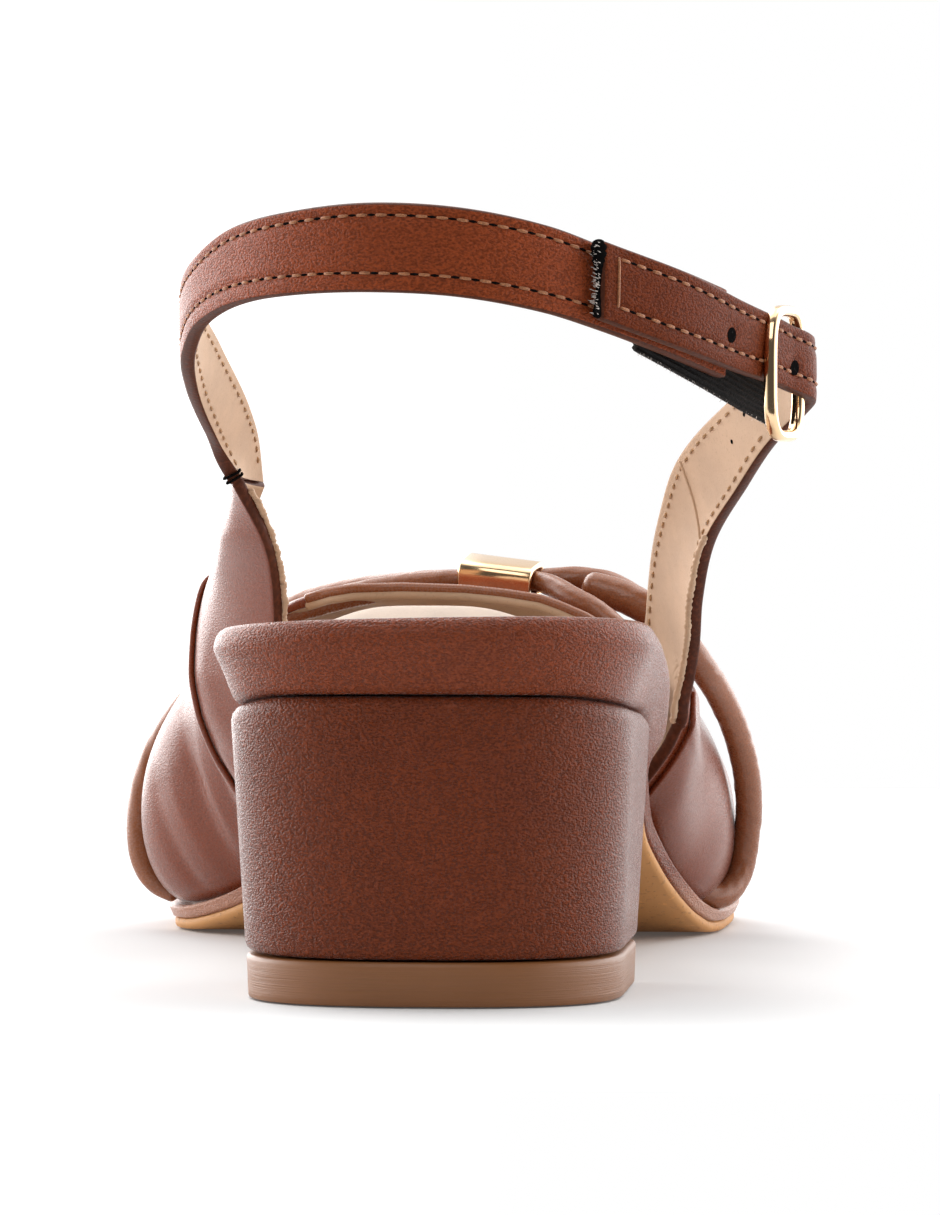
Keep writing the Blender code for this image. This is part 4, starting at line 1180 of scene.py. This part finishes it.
class SANDAL_OT_sole(bpy.types.Operator):
    """Outsole, wrapped footbed and sock lining"""

    bl_idname = "sandal.sole"
    bl_label = "Sole"

    def execute(self, context):
        def under(y):
            return SOLE.at(y, "under")

        def cove(y):
            return RAND_COVE + (SEAT_COVE - RAND_COVE) * ease((COVE_START - y) / COVE_FADE)

        def waist(y):
            inner, outer = sole_edges(y)
            taper = OUTSOLE_TAPER * (1 - ease((y - OUTSOLE_REAR) / OUTSOLE_FADE))
            return inner + taper, outer - taper

        def bed(y):
            return rim(y) - SOLE.at(y, "recess")

        def ring(stations, inset, height, edges=sole_edges):
            plan = outline(edges, stations, inset)
            return np.column_stack((plan, height(plan[:, 1])))

        sheet = crowd(OUTSOLE_REAR, TOE_TIP - OUTSOLE_TOE, SOLE_COUNT)
        rings = [ring(sheet, lambda y, d=draw_in: np.full_like(y, OUTSOLE_INSET + d),
                      lambda y, r=rise: under(y) - (OUTSOLE_THICK + GAP) * (1 - r), waist)
                 for rise, draw_in in OUTSOLE_SIDE]
        make("outsole_sheet", stack(rings, SOLE_COLUMNS), "tan_sole", node="outsole")
        whole = crowd(SEAT_BACK + TIP_GAP, TOE_TIP - TIP_GAP, SOLE_COUNT)
        rings = []
        for coved, draw_in, rise in FOOTBED_SIDE:
            level = ring(whole, lambda y, c=coved, d=draw_in: cove(y) * c + d,
                         lambda y, r=rise: under(y) + SOLE.at(y, "edge") * r)
            tilt = SEAT_TILT * rise * level[:, 0]
            level[:, 2] += tilt * (1 - ease((level[:, 1] - TILT_START) / TILT_FADE))
            level[:, 2] -= corner_drop(level) * (1 - ease(rise * 2))
            rings.append(level)
        rings.append(ring(whole, lambda y: np.full_like(y, BED_INSET), bed))
        make("footbed_wrap", stack(rings, SOLE_COLUMNS), "seat_leather", "seat_leather", "beige_lining",
             node="footbed")
        rings = [ring(whole, lambda y, d=draw_in: SOLE.at(y, "insole_inset") + d,
                      lambda y, r=rise: bed(y) + GAP + r)
                 for draw_in, rise in INSOLE_SIDE]
        sock = make("insole_sock", stack(rings, SOCK_COLUMNS, lambda y: SOLE.at(y, "crown")), "cream_sock",
                    node="insole")
        return {"FINISHED"}


def vamp_sheet():
    """The vamp's wall, with a rolled rear edge on its inner side and soft folds."""
    around = np.linspace(0, 1, VAMP_COLUMNS)[None, :]
    share = np.linspace(0, 1, VAMP_ROWS)[:, None]
    rear, front = VAMP_EDGES.at(around, "rear"), VAMP_EDGES.at(around, "front")
    outside = vamp_surface(rear + (front - rear) * share, around)
    from_rear = share * (front - rear)
    edge = np.stack([BAND.at(around[0], axis) for axis in "xyz"], axis=-1)
    drawn = BAND.at(around, "drawn")
    outside = outside + ((edge - outside[0]) * drawn[0][:, None]
                         * np.exp(-(from_rear / BAND_WIDTH) ** 2)[..., None])
    normal = grid_normals(outside)
    if normal[VAMP_ROWS // 2, VAMP_COLUMNS // 2, 2] < 0:
        normal = -normal
    thin = 1 - THIN_EDGE * (1 - ease(from_rear / THIN_WIDTH)) * drawn
    sheet = Sheet(outside, normal, UPPER_WALL * thin[..., None])
    roll = ROLL_RISE * np.exp(-(from_rear / ROLL_WIDTH) ** 2) * ease((ROLL_END - around) / ROLL_FADE)
    sheet.outside = sheet.outside + normal * roll[..., None]
    arch = np.interp(sheet.outside[0, :, 0], *np.transpose(TOPLINE)) - sheet.outside[0, :, 2]
    lip = arch * ease((around - LIP_SPAN[0]) / LIP_FADE) * ease((LIP_SPAN[1] - around) / LIP_FADE)
    sheet.outside[..., 2] += lip * np.exp(-(from_rear / LIP_WIDTH) ** 2)
    pleats = bpy.context.scene.sandal_sizes.pleats
    sheet.press([(a, b, width, depth * pleats) for a, b, width, depth in VAMP_FOLDS])
    sheet.outside[..., 2] = np.maximum(sheet.outside[..., 2], rim(sheet.outside[..., 1]) + FOOT_GAP)
    return sheet


class SANDAL_OT_vamp(bpy.types.Operator):
    """Draped vamp with its binding and lining edge along the topline"""

    bl_idname = "sandal.vamp"
    bl_label = "Vamp"

    def execute(self, context):
        sheet = vamp_sheet()
        make("vamp_leather", sheet.mesh(1.0), "upper_leather", "upper_leather", "beige_lining",
             node="upper")
        column = np.linspace(*BINDING_SPAN, BINDING_COUNT)
        middle, normals = sheet.at(np.zeros(BINDING_COUNT), column, lift=-UPPER_WALL * 0.4)
        back = np.array((0.0, -1.0, 0.0))
        bound = tube(middle + back * 0.5 + normals * 0.35, BINDING_RADIUS, 14)
        make("topline_binding", bound, "cord_leather", slot="upper")
        edge = tube(middle + back * 0.4 - normals * 0.75, BINDING_RADIUS, 10)
        make("topline_lining", edge, "beige_lining", slot="upper")
        return {"FINISHED"}


def tuck(sheet, skin, depth, pull=0.0):
    """Draw a sheet in, or out by up to pull, to lie just under another, fading past that one's edge."""
    push, inward = np.zeros(sheet.outside.shape[:2]), np.zeros_like(sheet.outside)
    for at in np.ndindex(push.shape):
        place = Vector(sheet.outside[at])
        near, normal, _, gap = skin.find_nearest(place)
        out = (place - near).dot(normal)
        aside = max(gap * gap - out * out, 0.0)
        fade = TUCK_FADE if out + depth > 0 else PULL_FADE
        push[at] = max(out + depth, -pull) * math.exp(-aside / fade ** 2)
        inward[at] = -normal
    sheet.outside = sheet.outside + inward * push[..., None]
    normal = grid_normals(sheet.outside)
    sheet.normal = normal if (normal * sheet.normal).sum() > 0 else -normal


def nearest(sheet, place, inner=False):
    """Row and column, as shares of a sheet, of its grid point closest to a place."""
    grid = sheet.inside if inner else sheet.outside
    away = np.linalg.norm(grid - np.array(place), axis=-1)
    row, column = np.unravel_index(np.argmin(away), away.shape)
    return row / (grid.shape[0] - 1), column / (grid.shape[1] - 1)


def disc(centre, normal, radius, depth, sides=24):
    """Short plug set into a surface, with its flat top at the centre."""
    side = unit(np.cross(normal, (0.0, 0.0, 1.0)))
    other = np.cross(normal, side)
    turns = turns_of(sides)[:, None]
    ring = centre + radius * (side * np.cos(turns) + other * np.sin(turns))
    walls = [[i, (i + 1) % sides, sides + (i + 1) % sides, sides + i] for i in range(sides)]
    caps = [list(range(sides))[::-1], list(range(sides, 2 * sides))]
    return np.concatenate((ring, ring - np.array(normal) * depth)), walls + caps


def punch(sheet, places):
    """Dents in a sheet's outside and the dark plugs of the holes in them, painted shade inside the holes.
    """
    plugs = []
    for place in places:
        row, column = nearest(sheet, place)
        (centre,), (normal,) = sheet.at([row], [column])
        away = np.linalg.norm(sheet.outside - centre, axis=-1)
        dent = HOLE_DENT * np.exp(-(away / (1.3 * HOLE_RADIUS)) ** 2)
        sheet.outside = sheet.outside - sheet.normal * dent[..., None]
        plugs.append(disc(centre - normal * HOLE_DENT * 0.35, normal, HOLE_RADIUS, 0.8))
    return gather(plugs)


def ragged(sheet, span, seed):
    """Uneven lip of lining along a sheet's rear edge, on its inside."""
    chance = np.random.default_rng(seed)
    row = np.linspace(*span, RAGGED_COUNT)
    places, normals = sheet.at(row, np.zeros(RAGGED_COUNT), lift=RAGGED_THICK * 0.4, inner=True)
    ahead, _ = sheet.at(row, np.full(RAGGED_COUNT, 0.06), inner=True)
    drift = np.convolve(chance.normal(0, 1, RAGGED_COUNT + 6), np.ones(7) / 7, "valid")[:, None]
    path = places - unit(ahead - places) * (0.15 + 0.5 * drift)
    return tube(path, RAGGED_THICK * (0.75 + 0.5 * chance.random(RAGGED_COUNT)), 8, normals[0])


def inset_line(sheet, span, lower=None, upper=None, inner=False):
    """Rows and columns of a line that keeps its distance from the lower or upper edge of a sheet."""
    grid = sheet.inside if inner else sheet.outside
    row = np.linspace(*span, LINE_COUNT)
    width = np.linalg.norm(np.diff(grid, axis=1), axis=-1).sum(axis=1)
    width = np.interp(row, np.linspace(0, 1, len(width)), width)
    return row, (lower / width if upper is None else 1 - upper / width)


def sew(name, sheet, lines, inner=False):
    """Stitches and needle holes of one piece along lines of rows and columns."""
    sizes = bpy.context.scene.sandal_sizes
    sewn = [stitches(sheet, row, column, sizes.stitch_pitch / MM, sizes.thread / MM, inner)
            for row, column in lines]
    threads, holes = zip(*sewn)
    make(name + "_thread", gather(threads), "lining_thread" if inner else "tan_thread")
    # Needle holes in the near-black hole finish: painted shade
    if not inner:
        make(name + "_holes", gather(holes), "needle_hole")


def plump(sheet, puff, lines):
    """Pad a strap's outside a little and draw it in as far under its stitch lines."""
    rows, columns = sheet.outside.shape[:2]
    across = np.linalg.norm(np.diff(sheet.outside, axis=1), axis=-1).sum(axis=1)[:, None]
    share = np.linspace(0, 1, columns)[None, :]
    rise = puff * (1 - (2 * share - 1) ** 4) * np.ones((rows, 1))
    at = np.linspace(0, 1, rows)
    for row, column in lines:
        inside = (at >= row.min()) & (at <= row.max())
        away = (share - np.interp(at, row, column)[:, None]) * across
        rise = rise - puff * np.exp(-(away / STITCH_DIP) ** 2) * inside[:, None]
    sheet.outside = sheet.outside + sheet.normal * rise[..., None]
    sheet.wall = sheet.wall + rise[..., None]


def frayed(ends, normals, along, length, thick, seed):
    """Loose fibres that stand out of a cut edge."""
    chance = np.random.default_rng(seed)
    hairs = []
    for place, normal, outward in zip(ends, normals, along):
        reach = length * chance.uniform(0.35, 1.0)
        lean = normal * chance.normal(0, 0.5) + chance.normal(0, 0.35, 3)
        share = np.linspace(0, 1, 5)[:, None]
        path = place + outward * reach * share + lean * reach * 0.6 * share ** 2
        hairs.append(tube(path, thick * np.linspace(1.0, 0.4, 5), 4))
    return gather(hairs)


class SANDAL_OT_quarters(bpy.types.Operator):
    """Inner and outer quarter, the tail through the buckle and their stitching"""

    bl_idname = "sandal.quarters"
    bl_label = "Quarters"

    def execute(self, context):
        skin = skin_of(vamp_sheet())
        inner = ribbon_sheet(INNER_QUARTER, -1, UPPER_WALL, 120, 50, INNER_STEP)
        tuck(inner, skin, TUCK_DEPTH, PULL)
        make("inner_quarter", inner.mesh(), "upper_leather", "cut_edge", "beige_lining", slot="upper")
        make("inner_lining_lip", ragged(inner, (0.5, 0.96), 21), "beige_lining")
        outer = ribbon_sheet(OUTER_QUARTER, 1, UPPER_WALL, 300, 44, OUTER_STEP)
        tuck(outer, skin, TUCK_DEPTH)
        span = (TAIL_STITCHES, TAIL_END)
        lines = [inset_line(outer, span, lower=2.2), inset_line(outer, span, upper=1.4)]
        plump(outer, 0.2, lines)
        make("tail_holes", punch(outer, HOLES), "needle_hole")
        points, faces, kinds = outer.mesh()
        rows, across = outer.outside.shape[0], outer.outside.shape[1] - 1
        bend, end = int(BEND_ROW * rows) * across, (rows - 1) * across
        # Painted shade: past the bend the tail takes tail_leather, the same leather made darker
        kinds[bend:end] = [TAIL_KIND] * (end - bend)
        make("outer_quarter", (points, faces, kinds), "upper_leather", "cut_edge", "beige_lining",
             "tail_leather", slot="upper")
        sew("tail", outer, lines)
        self.tail_end(outer, *(column[-1] for _, column in lines))
        self.outer_lining(outer)
        return {"FINISHED"}

    def tail_end(self, outer, low, high):
        """Closing thread, a dark core painted as the shade in the slit of the raw end, and loose fibres at
        the tail's end.
        """
        column = np.linspace(low, high, 12)
        places, _ = outer.at(np.full(12, TAIL_END), column, lift=0.05)
        make("tail_close_thread", tube(places, CLOSE_THREAD, 8), "tan_thread")
        chance = np.random.default_rng(5)
        column = np.linspace(0.03, 0.97, CORE_COUNT)
        places, _ = outer.at(np.ones(CORE_COUNT), column, lift=-UPPER_WALL * 0.45)
        before, _ = outer.at(np.full(CORE_COUNT, TAIL_BACK), column)
        wedge = 0.34 + 0.72 * ease((column - 0.42) / 0.45) + 0.3 * ease((0.36 - column) / 0.3)
        radii = wedge * chance.uniform(0.85, 1.1, CORE_COUNT)
        # Painted shade: a near-black tube in the slit of the tail's end
        make("tail_core", tube(places + unit(places - before) * 0.4, radii, 12), "needle_hole")
        column = chance.uniform(0.02, 0.98, FUZZ_COUNT)
        lift = -chance.uniform(0.0, 1.0, (FUZZ_COUNT, 1))
        places, normals = outer.at(np.ones(FUZZ_COUNT), column, lift=lift)
        before, _ = outer.at(np.full(FUZZ_COUNT, TAIL_BACK), column)
        outward = unit(places - before)
        make("tail_fuzz", frayed(places + outward * 0.9, normals, outward, 0.8, 0.06, 6), "pale_fibre")

    def outer_lining(self, outer):
        """Stitching, lap, prick marks and uneven lip of the outer quarter's lining."""
        sew("outer_lining", outer, [inset_line(outer, (0.3, TAIL_STITCHES), lower=1.6, inner=True),
                                    inset_line(outer, (0.25, TAIL_STITCHES), upper=1.6, inner=True)], True)
        (top, front), (low, rear) = (nearest(outer, place, True) for place in LAP)
        row, column = np.linspace(top, low, 40), np.linspace(front, rear, 40)
        places, normals = outer.at(row, column, lift=-0.05, inner=True)
        make("outer_lining_lap", tube(places, 0.32, 8, normals[0]), "beige_lining")
        pricks = []
        for place in PRICKS:
            row, column = nearest(outer, place, True)
            (centre,), (normal,) = outer.at([row], [column], lift=0.03, inner=True)
            pricks.append(disc(centre, normal, PRICK_RADIUS, 0.4, 10))
        # Prick marks: dark discs, painted shade inside the small holes
        make("outer_lining_pricks", gather(pricks), "needle_hole")
        make("outer_lining_lip", ragged(outer, (0.12, low + 0.02), 22), "beige_lining")


class SANDAL_OT_sling(bpy.types.Operator):
    """Sling strap round the back of the heel, sewn along both edges"""

    bl_idname = "sandal.sling"
    bl_label = "Sling strap"

    def execute(self, context):
        strap = ribbon_sheet(SLING, -1, STRAP_WALL, 280, 44, heart=HEEL_MIDDLE)
        span = (0.03, TAIL_END)
        lines = [inset_line(strap, span, lower=2.2), inset_line(strap, span, upper=1.35)]
        plump(strap, 0.25, lines)
        make("sling_leather", strap.mesh(), "strap_leather", "cut_edge", "beige_lining", node="sling_strap")
        sew("sling", strap, lines)
        bars = []
        for row in SEAM_BARS:
            at = np.array([row])
            (near,), _ = strap.at(at, np.zeros(1), lift=0.2)
            (far,), _ = strap.at(at, np.zeros(1), lift=0.2, inner=True)
            (up,), _ = strap.at(at, np.array([0.1]))
            off = unit(near - up)
            loop = (near - off, near + off * 0.3, (near + far) / 2 + off * 0.75, far + off * 0.3, far - off)
            bars.append(tube(through(loop, 16), BAR_RADIUS, 8))
        make("seam_bar", gather(bars), "needle_hole")
        span = (0.02, 0.6)
        sew("sling_lining", strap, [inset_line(strap, span, lower=1.8, inner=True),
                                    inset_line(strap, span, upper=1.5, inner=True)], True)
        return {"FINISHED"}


def rest_on(path, radii, skin):
    """Cord path lifted until the cord only just presses into the leather under it."""
    path = np.array(path)
    for turn in range(CORD_PASSES):
        for i, place in enumerate(path):
            near, normal, _, _ = skin.find_nearest(Vector(place))
            out = (Vector(place) - near).dot(normal)
            short = radii[i] - CORD_SINK - out
            if short > 0:
                free = ease(min(i, len(path) - 1 - i) / CORD_ENDS)
                path[i] = path[i] + np.array(normal) * short * 0.6 * free
    for turn in range(CORD_SMOOTH):
        path[1:-1] = 0.5 * path[1:-1] + 0.25 * (path[:-2] + path[2:])
    return path


def skin_of(sheet):
    """Search tree over a sheet's outside, with outward normals."""
    rows, columns = sheet.outside.shape[:2]
    index = np.arange(rows * columns).reshape(rows, columns)
    quads = grid_quads(index)
    points = sheet.outside.reshape(-1, 3)
    a, b, c = (points[quads[:, i]] for i in (0, 1, 2))
    if (np.cross(b - a, c - a) * sheet.normal[:-1, :-1].reshape(-1, 3)).sum() < 0:
        quads = quads[:, ::-1]
    return BVHTree.FromPolygons(points.tolist(), quads.tolist())


class SANDAL_OT_cords(bpy.types.Operator):
    """Rolled leather cords through the bead and down to the sole"""

    bl_idname = "sandal.cords"
    bl_label = "Cords"

    def execute(self, context):
        skin = skin_of(vamp_sheet())
        for name, rows, count, slot in (("topline_roll", TOPLINE_CORD, 150, "topline_cord"),
                                        ("front_roll", FRONT_CORD, 260, "front_cord"),
                                        ("outer_roll", OUTER_CORD, 220, "outer_cord")):
            data = np.array(rows)
            path = through(data[:, :3], count)
            chord = lengths(data[:, :3])
            radii = np.interp(np.linspace(0, chord[-1], count), chord, data[:, 3])
            if name != "topline_roll":
                path = rest_on(path, radii, skin)
            chance = np.random.default_rng(len(name))
            waves = chance.uniform(0, 2 * math.pi, 8)

            def shape(turn, at, waves=waves):
                return 1.0 + RIPPLE * sum(math.sin((7 + 9 * k) * at * math.pi + k * turn + wave)
                                          for k, wave in enumerate(waves))

            make(name, tube(path, radii, 32, shape=shape), "cord_leather", node=slot)
        return {"FINISHED"}


def swept_loop(places, outs):
    """Closed ring of metal along a loop of places, with a rounded flat section."""
    nexts = np.roll(places, -1, axis=0) - np.roll(places, 1, axis=0)
    flats = unit(np.cross(nexts, outs))
    across, rise = squared(turns_of(WIRE_SIDES), WIRE_SQUARE)
    wide, flat = across * BUCKLE_WIRE, rise * (BUCKLE_WIRE * WIRE_FLAT)
    points = places[:, None] + outs[:, None] * wide[None, :, None] + flats[:, None] * flat[None, :, None]
    return points.reshape(-1, 3), loop_quads(len(places), WIRE_SIDES)


class SANDAL_OT_metal(bpy.types.Operator):
    """Bead that holds the cords, and the buckle's frame"""

    bl_idname = "sandal.metal"
    bl_label = "Bead and buckle"

    def execute(self, context):
        section = np.column_stack(squared(turns_of(BEAD_COUNT), BEAD_SQUARE))
        long, deep, high = (size / 2 for size in BEAD_SIZE)
        turn = np.array(Euler([math.radians(angle) for angle in BEAD_TURN]).to_matrix())
        rings = []
        for along, draw_in in BEAD_SIDE:
            x = math.copysign(long - abs(along), along)
            yz = section * (deep - draw_in, high - draw_in)
            rings.append(np.column_stack((np.full(len(yz), x), yz)) @ turn.T + BEAD_PLACE)
        sleeve = np.concatenate(rings), loop_quads(len(rings), BEAD_COUNT)
        make("bead_sleeve", sleeve, "bead_gold", node="bead")
        rear, front = np.array(BUCKLE_REAR), np.array(BUCKLE_FRONT)
        centre, along = (rear + front) / 2, (front - rear) / 2
        up = np.array((0.0, 0.0, BUCKLE_HEIGHT / 2 - BUCKLE_WIRE))
        across, rise = squared(turns_of(160), BUCKLE_SQUARE)
        places = centre + along * across[:, None] + up * rise[:, None]
        places = evenly(np.concatenate((places, places[:1])), BUCKLE_COUNT)[:-1]
        ahead = unit(np.roll(places, -1, axis=0) - np.roll(places, 1, axis=0))
        outs = unit(np.cross(ahead, np.cross(along, up)))
        make("buckle_wire", swept_loop(places, outs), "pale_gold", node="buckle_frame")
        return {"FINISHED"}


class SANDAL_OT_elastic(bpy.types.Operator):
    """Ribbed elastic from behind the sling's end to the buckle"""

    bl_idname = "sandal.elastic"
    bl_label = "Elastic"

    def execute(self, context):
        band = ribbon_sheet(ELASTIC, 1, ELASTIC_WALL, 60, 132, grows=-1, heart=HEEL_MIDDLE)
        share = np.linspace(0, 1, band.outside.shape[1])
        ribs = RIB_DEPTH * np.cos(share * 2 * math.pi * ELASTIC_RIBS)
        band.outside = band.outside + band.normal * (ribs[None, :, None] - RIB_DEPTH)
        band.wall = ELASTIC_WALL - 2 * RIB_DEPTH
        make("elastic_band", band.mesh(), "black_elastic", node="elastic")
        chance = np.random.default_rng(11)
        row = chance.uniform(0.0, 1.0, FRAY_COUNT)
        lift = -chance.uniform(0.0, 0.8, (FRAY_COUNT, 1))
        places, normals = band.at(row, np.zeros(FRAY_COUNT), lift=lift)
        above, _ = band.at(row, np.full(FRAY_COUNT, 0.1))
        make("elastic_fray", frayed(places, normals, unit(places - above), 0.5, 0.05, 12), "pale_fibre")
        return {"FINISHED"}


class SANDAL_OT_stage(bpy.types.Operator):
    """Pale floor, white surround, soft light and the photograph's camera"""

    bl_idname = "sandal.stage"
    bl_label = "Stage"

    def execute(self, context):
        scene = context.scene
        self.floor(scene)
        self.surround(scene)
        for name, place, aim, size, power in LAMPS:
            lamp = bpy.data.lights.new(name, "AREA")
            lamp.shape = "RECTANGLE"
            lamp.size, lamp.size_y = size
            lamp.energy = power
            holder = bpy.data.objects.new(name, lamp)
            holder.location = place
            holder.rotation_euler = (Vector(aim) - Vector(place)).to_track_quat("-Z", "Y").to_euler()
            scene.collection.objects.link(holder)
        self.camera(scene)
        scene.view_settings.view_transform = "Standard"
        scene.view_settings.look = "None"
        return {"FINISHED"}

    def floor(self, scene):
        """Sheet of pale paper just under the soles."""
        data = bpy.data.meshes.new("floor")
        (left, near), (right, far) = FLOOR_CORNERS
        corners = [(left, near, 0), (right, near, 0), (right, far, 0), (left, far, 0)]
        data.from_pydata(corners, [], [(0, 1, 2, 3)])
        floor = bpy.data.objects.new("floor", data)
        floor.location.z = -FLOOR_DROP
        look = Look("floor_paper", Base_Color=FLOOR_PAPER, Roughness=1.0, Specular_IOR_Level=0.0,
                    Emission_Color=WHITE, Emission_Strength=FLOOR_GLOW)
        data.materials.append(look.material)
        scene.collection.objects.link(floor)

    def camera(self, scene):
        """The photograph's camera, tilted to put its horizon where the photograph has it."""
        camera = bpy.data.cameras.new("camera")
        camera.sensor_fit = "AUTO"
        camera.sensor_width = SENSOR
        camera.lens = FOCAL_PIXELS / PHOTO_HEIGHT * SENSOR
        camera.clip_start, camera.clip_end = CLIP
        camera.dof.use_dof = False
        holder = bpy.data.objects.new("camera", camera)
        drop = math.atan((PHOTO_HEIGHT / 2 - HORIZON_PIXEL) / FOCAL_PIXELS)
        holder.location = [part * MM for part in EYE]
        holder.rotation_euler = (math.pi / 2 - drop, 0.0, TURN)
        scene.collection.objects.link(holder)
        scene.camera = holder

    def surround(self, scene):
        """White all round, dimmer behind the camera so that the heel's back keeps its depth."""
        world = bpy.data.worlds.new("surround")
        world.use_nodes = True
        scene.world = world
        nodes = Nodes(world.node_tree)
        way = nodes.node("ShaderNodeTexCoord", output="Generated")
        right, ahead = (nodes.node("ShaderNodeSeparateXYZ", (), {"Vector": way}, axis) for axis in "XY")
        aside = (right * right) ** 0.5
        light = BACK_LIGHT + (1.0 - BACK_LIGHT) * ahead.clamp(*BACK_SPAN)
        light = light + SIDE_LIGHT * aside.clamp(*SIDE_SPAN)
        glow = RIM_LIGHT * aside.clamp(*RIM_ASIDE) * ahead.clamp(*RIM_AHEAD)
        light = light + glow * (1.0 - (1.0 - RIM_RIGHT) * right.clamp(*RIM_TURN))
        background = world.node_tree.nodes["Background"]
        nodes.plug(background.inputs["Strength"], light)
        nodes.plug(background.inputs["Color"], WHITE)


OPERATORS = (SANDAL_OT_heel, SANDAL_OT_sole, SANDAL_OT_vamp, SANDAL_OT_quarters, SANDAL_OT_sling,
             SANDAL_OT_cords, SANDAL_OT_metal, SANDAL_OT_elastic, SANDAL_OT_stage)


class SANDAL_PT_panel(bpy.types.Panel):
    """Sizes, colours and the steps that build the sandal"""

    bl_idname = "SANDAL_PT_panel"
    bl_label = "Slingback Sandal"
    bl_space_type = "VIEW_3D"
    bl_region_type = "UI"
    bl_category = "Sandal"

    def draw(self, context):
        for group in (context.scene.sandal_sizes, context.scene.sandal_colours):
            for name in group.__annotations__:
                self.layout.prop(group, name)
        for step in OPERATORS:
            self.layout.operator(step.bl_idname)


CLASSES = (SandalSizes, SandalColours, *OPERATORS, SANDAL_PT_panel)


def register():
    for kind in CLASSES:
        bpy.utils.register_class(kind)
    bpy.types.Scene.sandal_sizes = PointerProperty(type=SandalSizes)
    bpy.types.Scene.sandal_colours = PointerProperty(type=SandalColours)


def unregister():
    del bpy.types.Scene.sandal_colours
    del bpy.types.Scene.sandal_sizes
    for kind in reversed(CLASSES):
        bpy.utils.unregister_class(kind)


def main():
    register()
    bpy.ops.sandal.heel()
    bpy.ops.sandal.sole()
    bpy.ops.sandal.vamp()
    bpy.ops.sandal.quarters()
    bpy.ops.sandal.sling()
    bpy.ops.sandal.cords()
    bpy.ops.sandal.metal()
    bpy.ops.sandal.elastic()
    bpy.ops.sandal.stage()


if __name__ == "__main__":
    main()
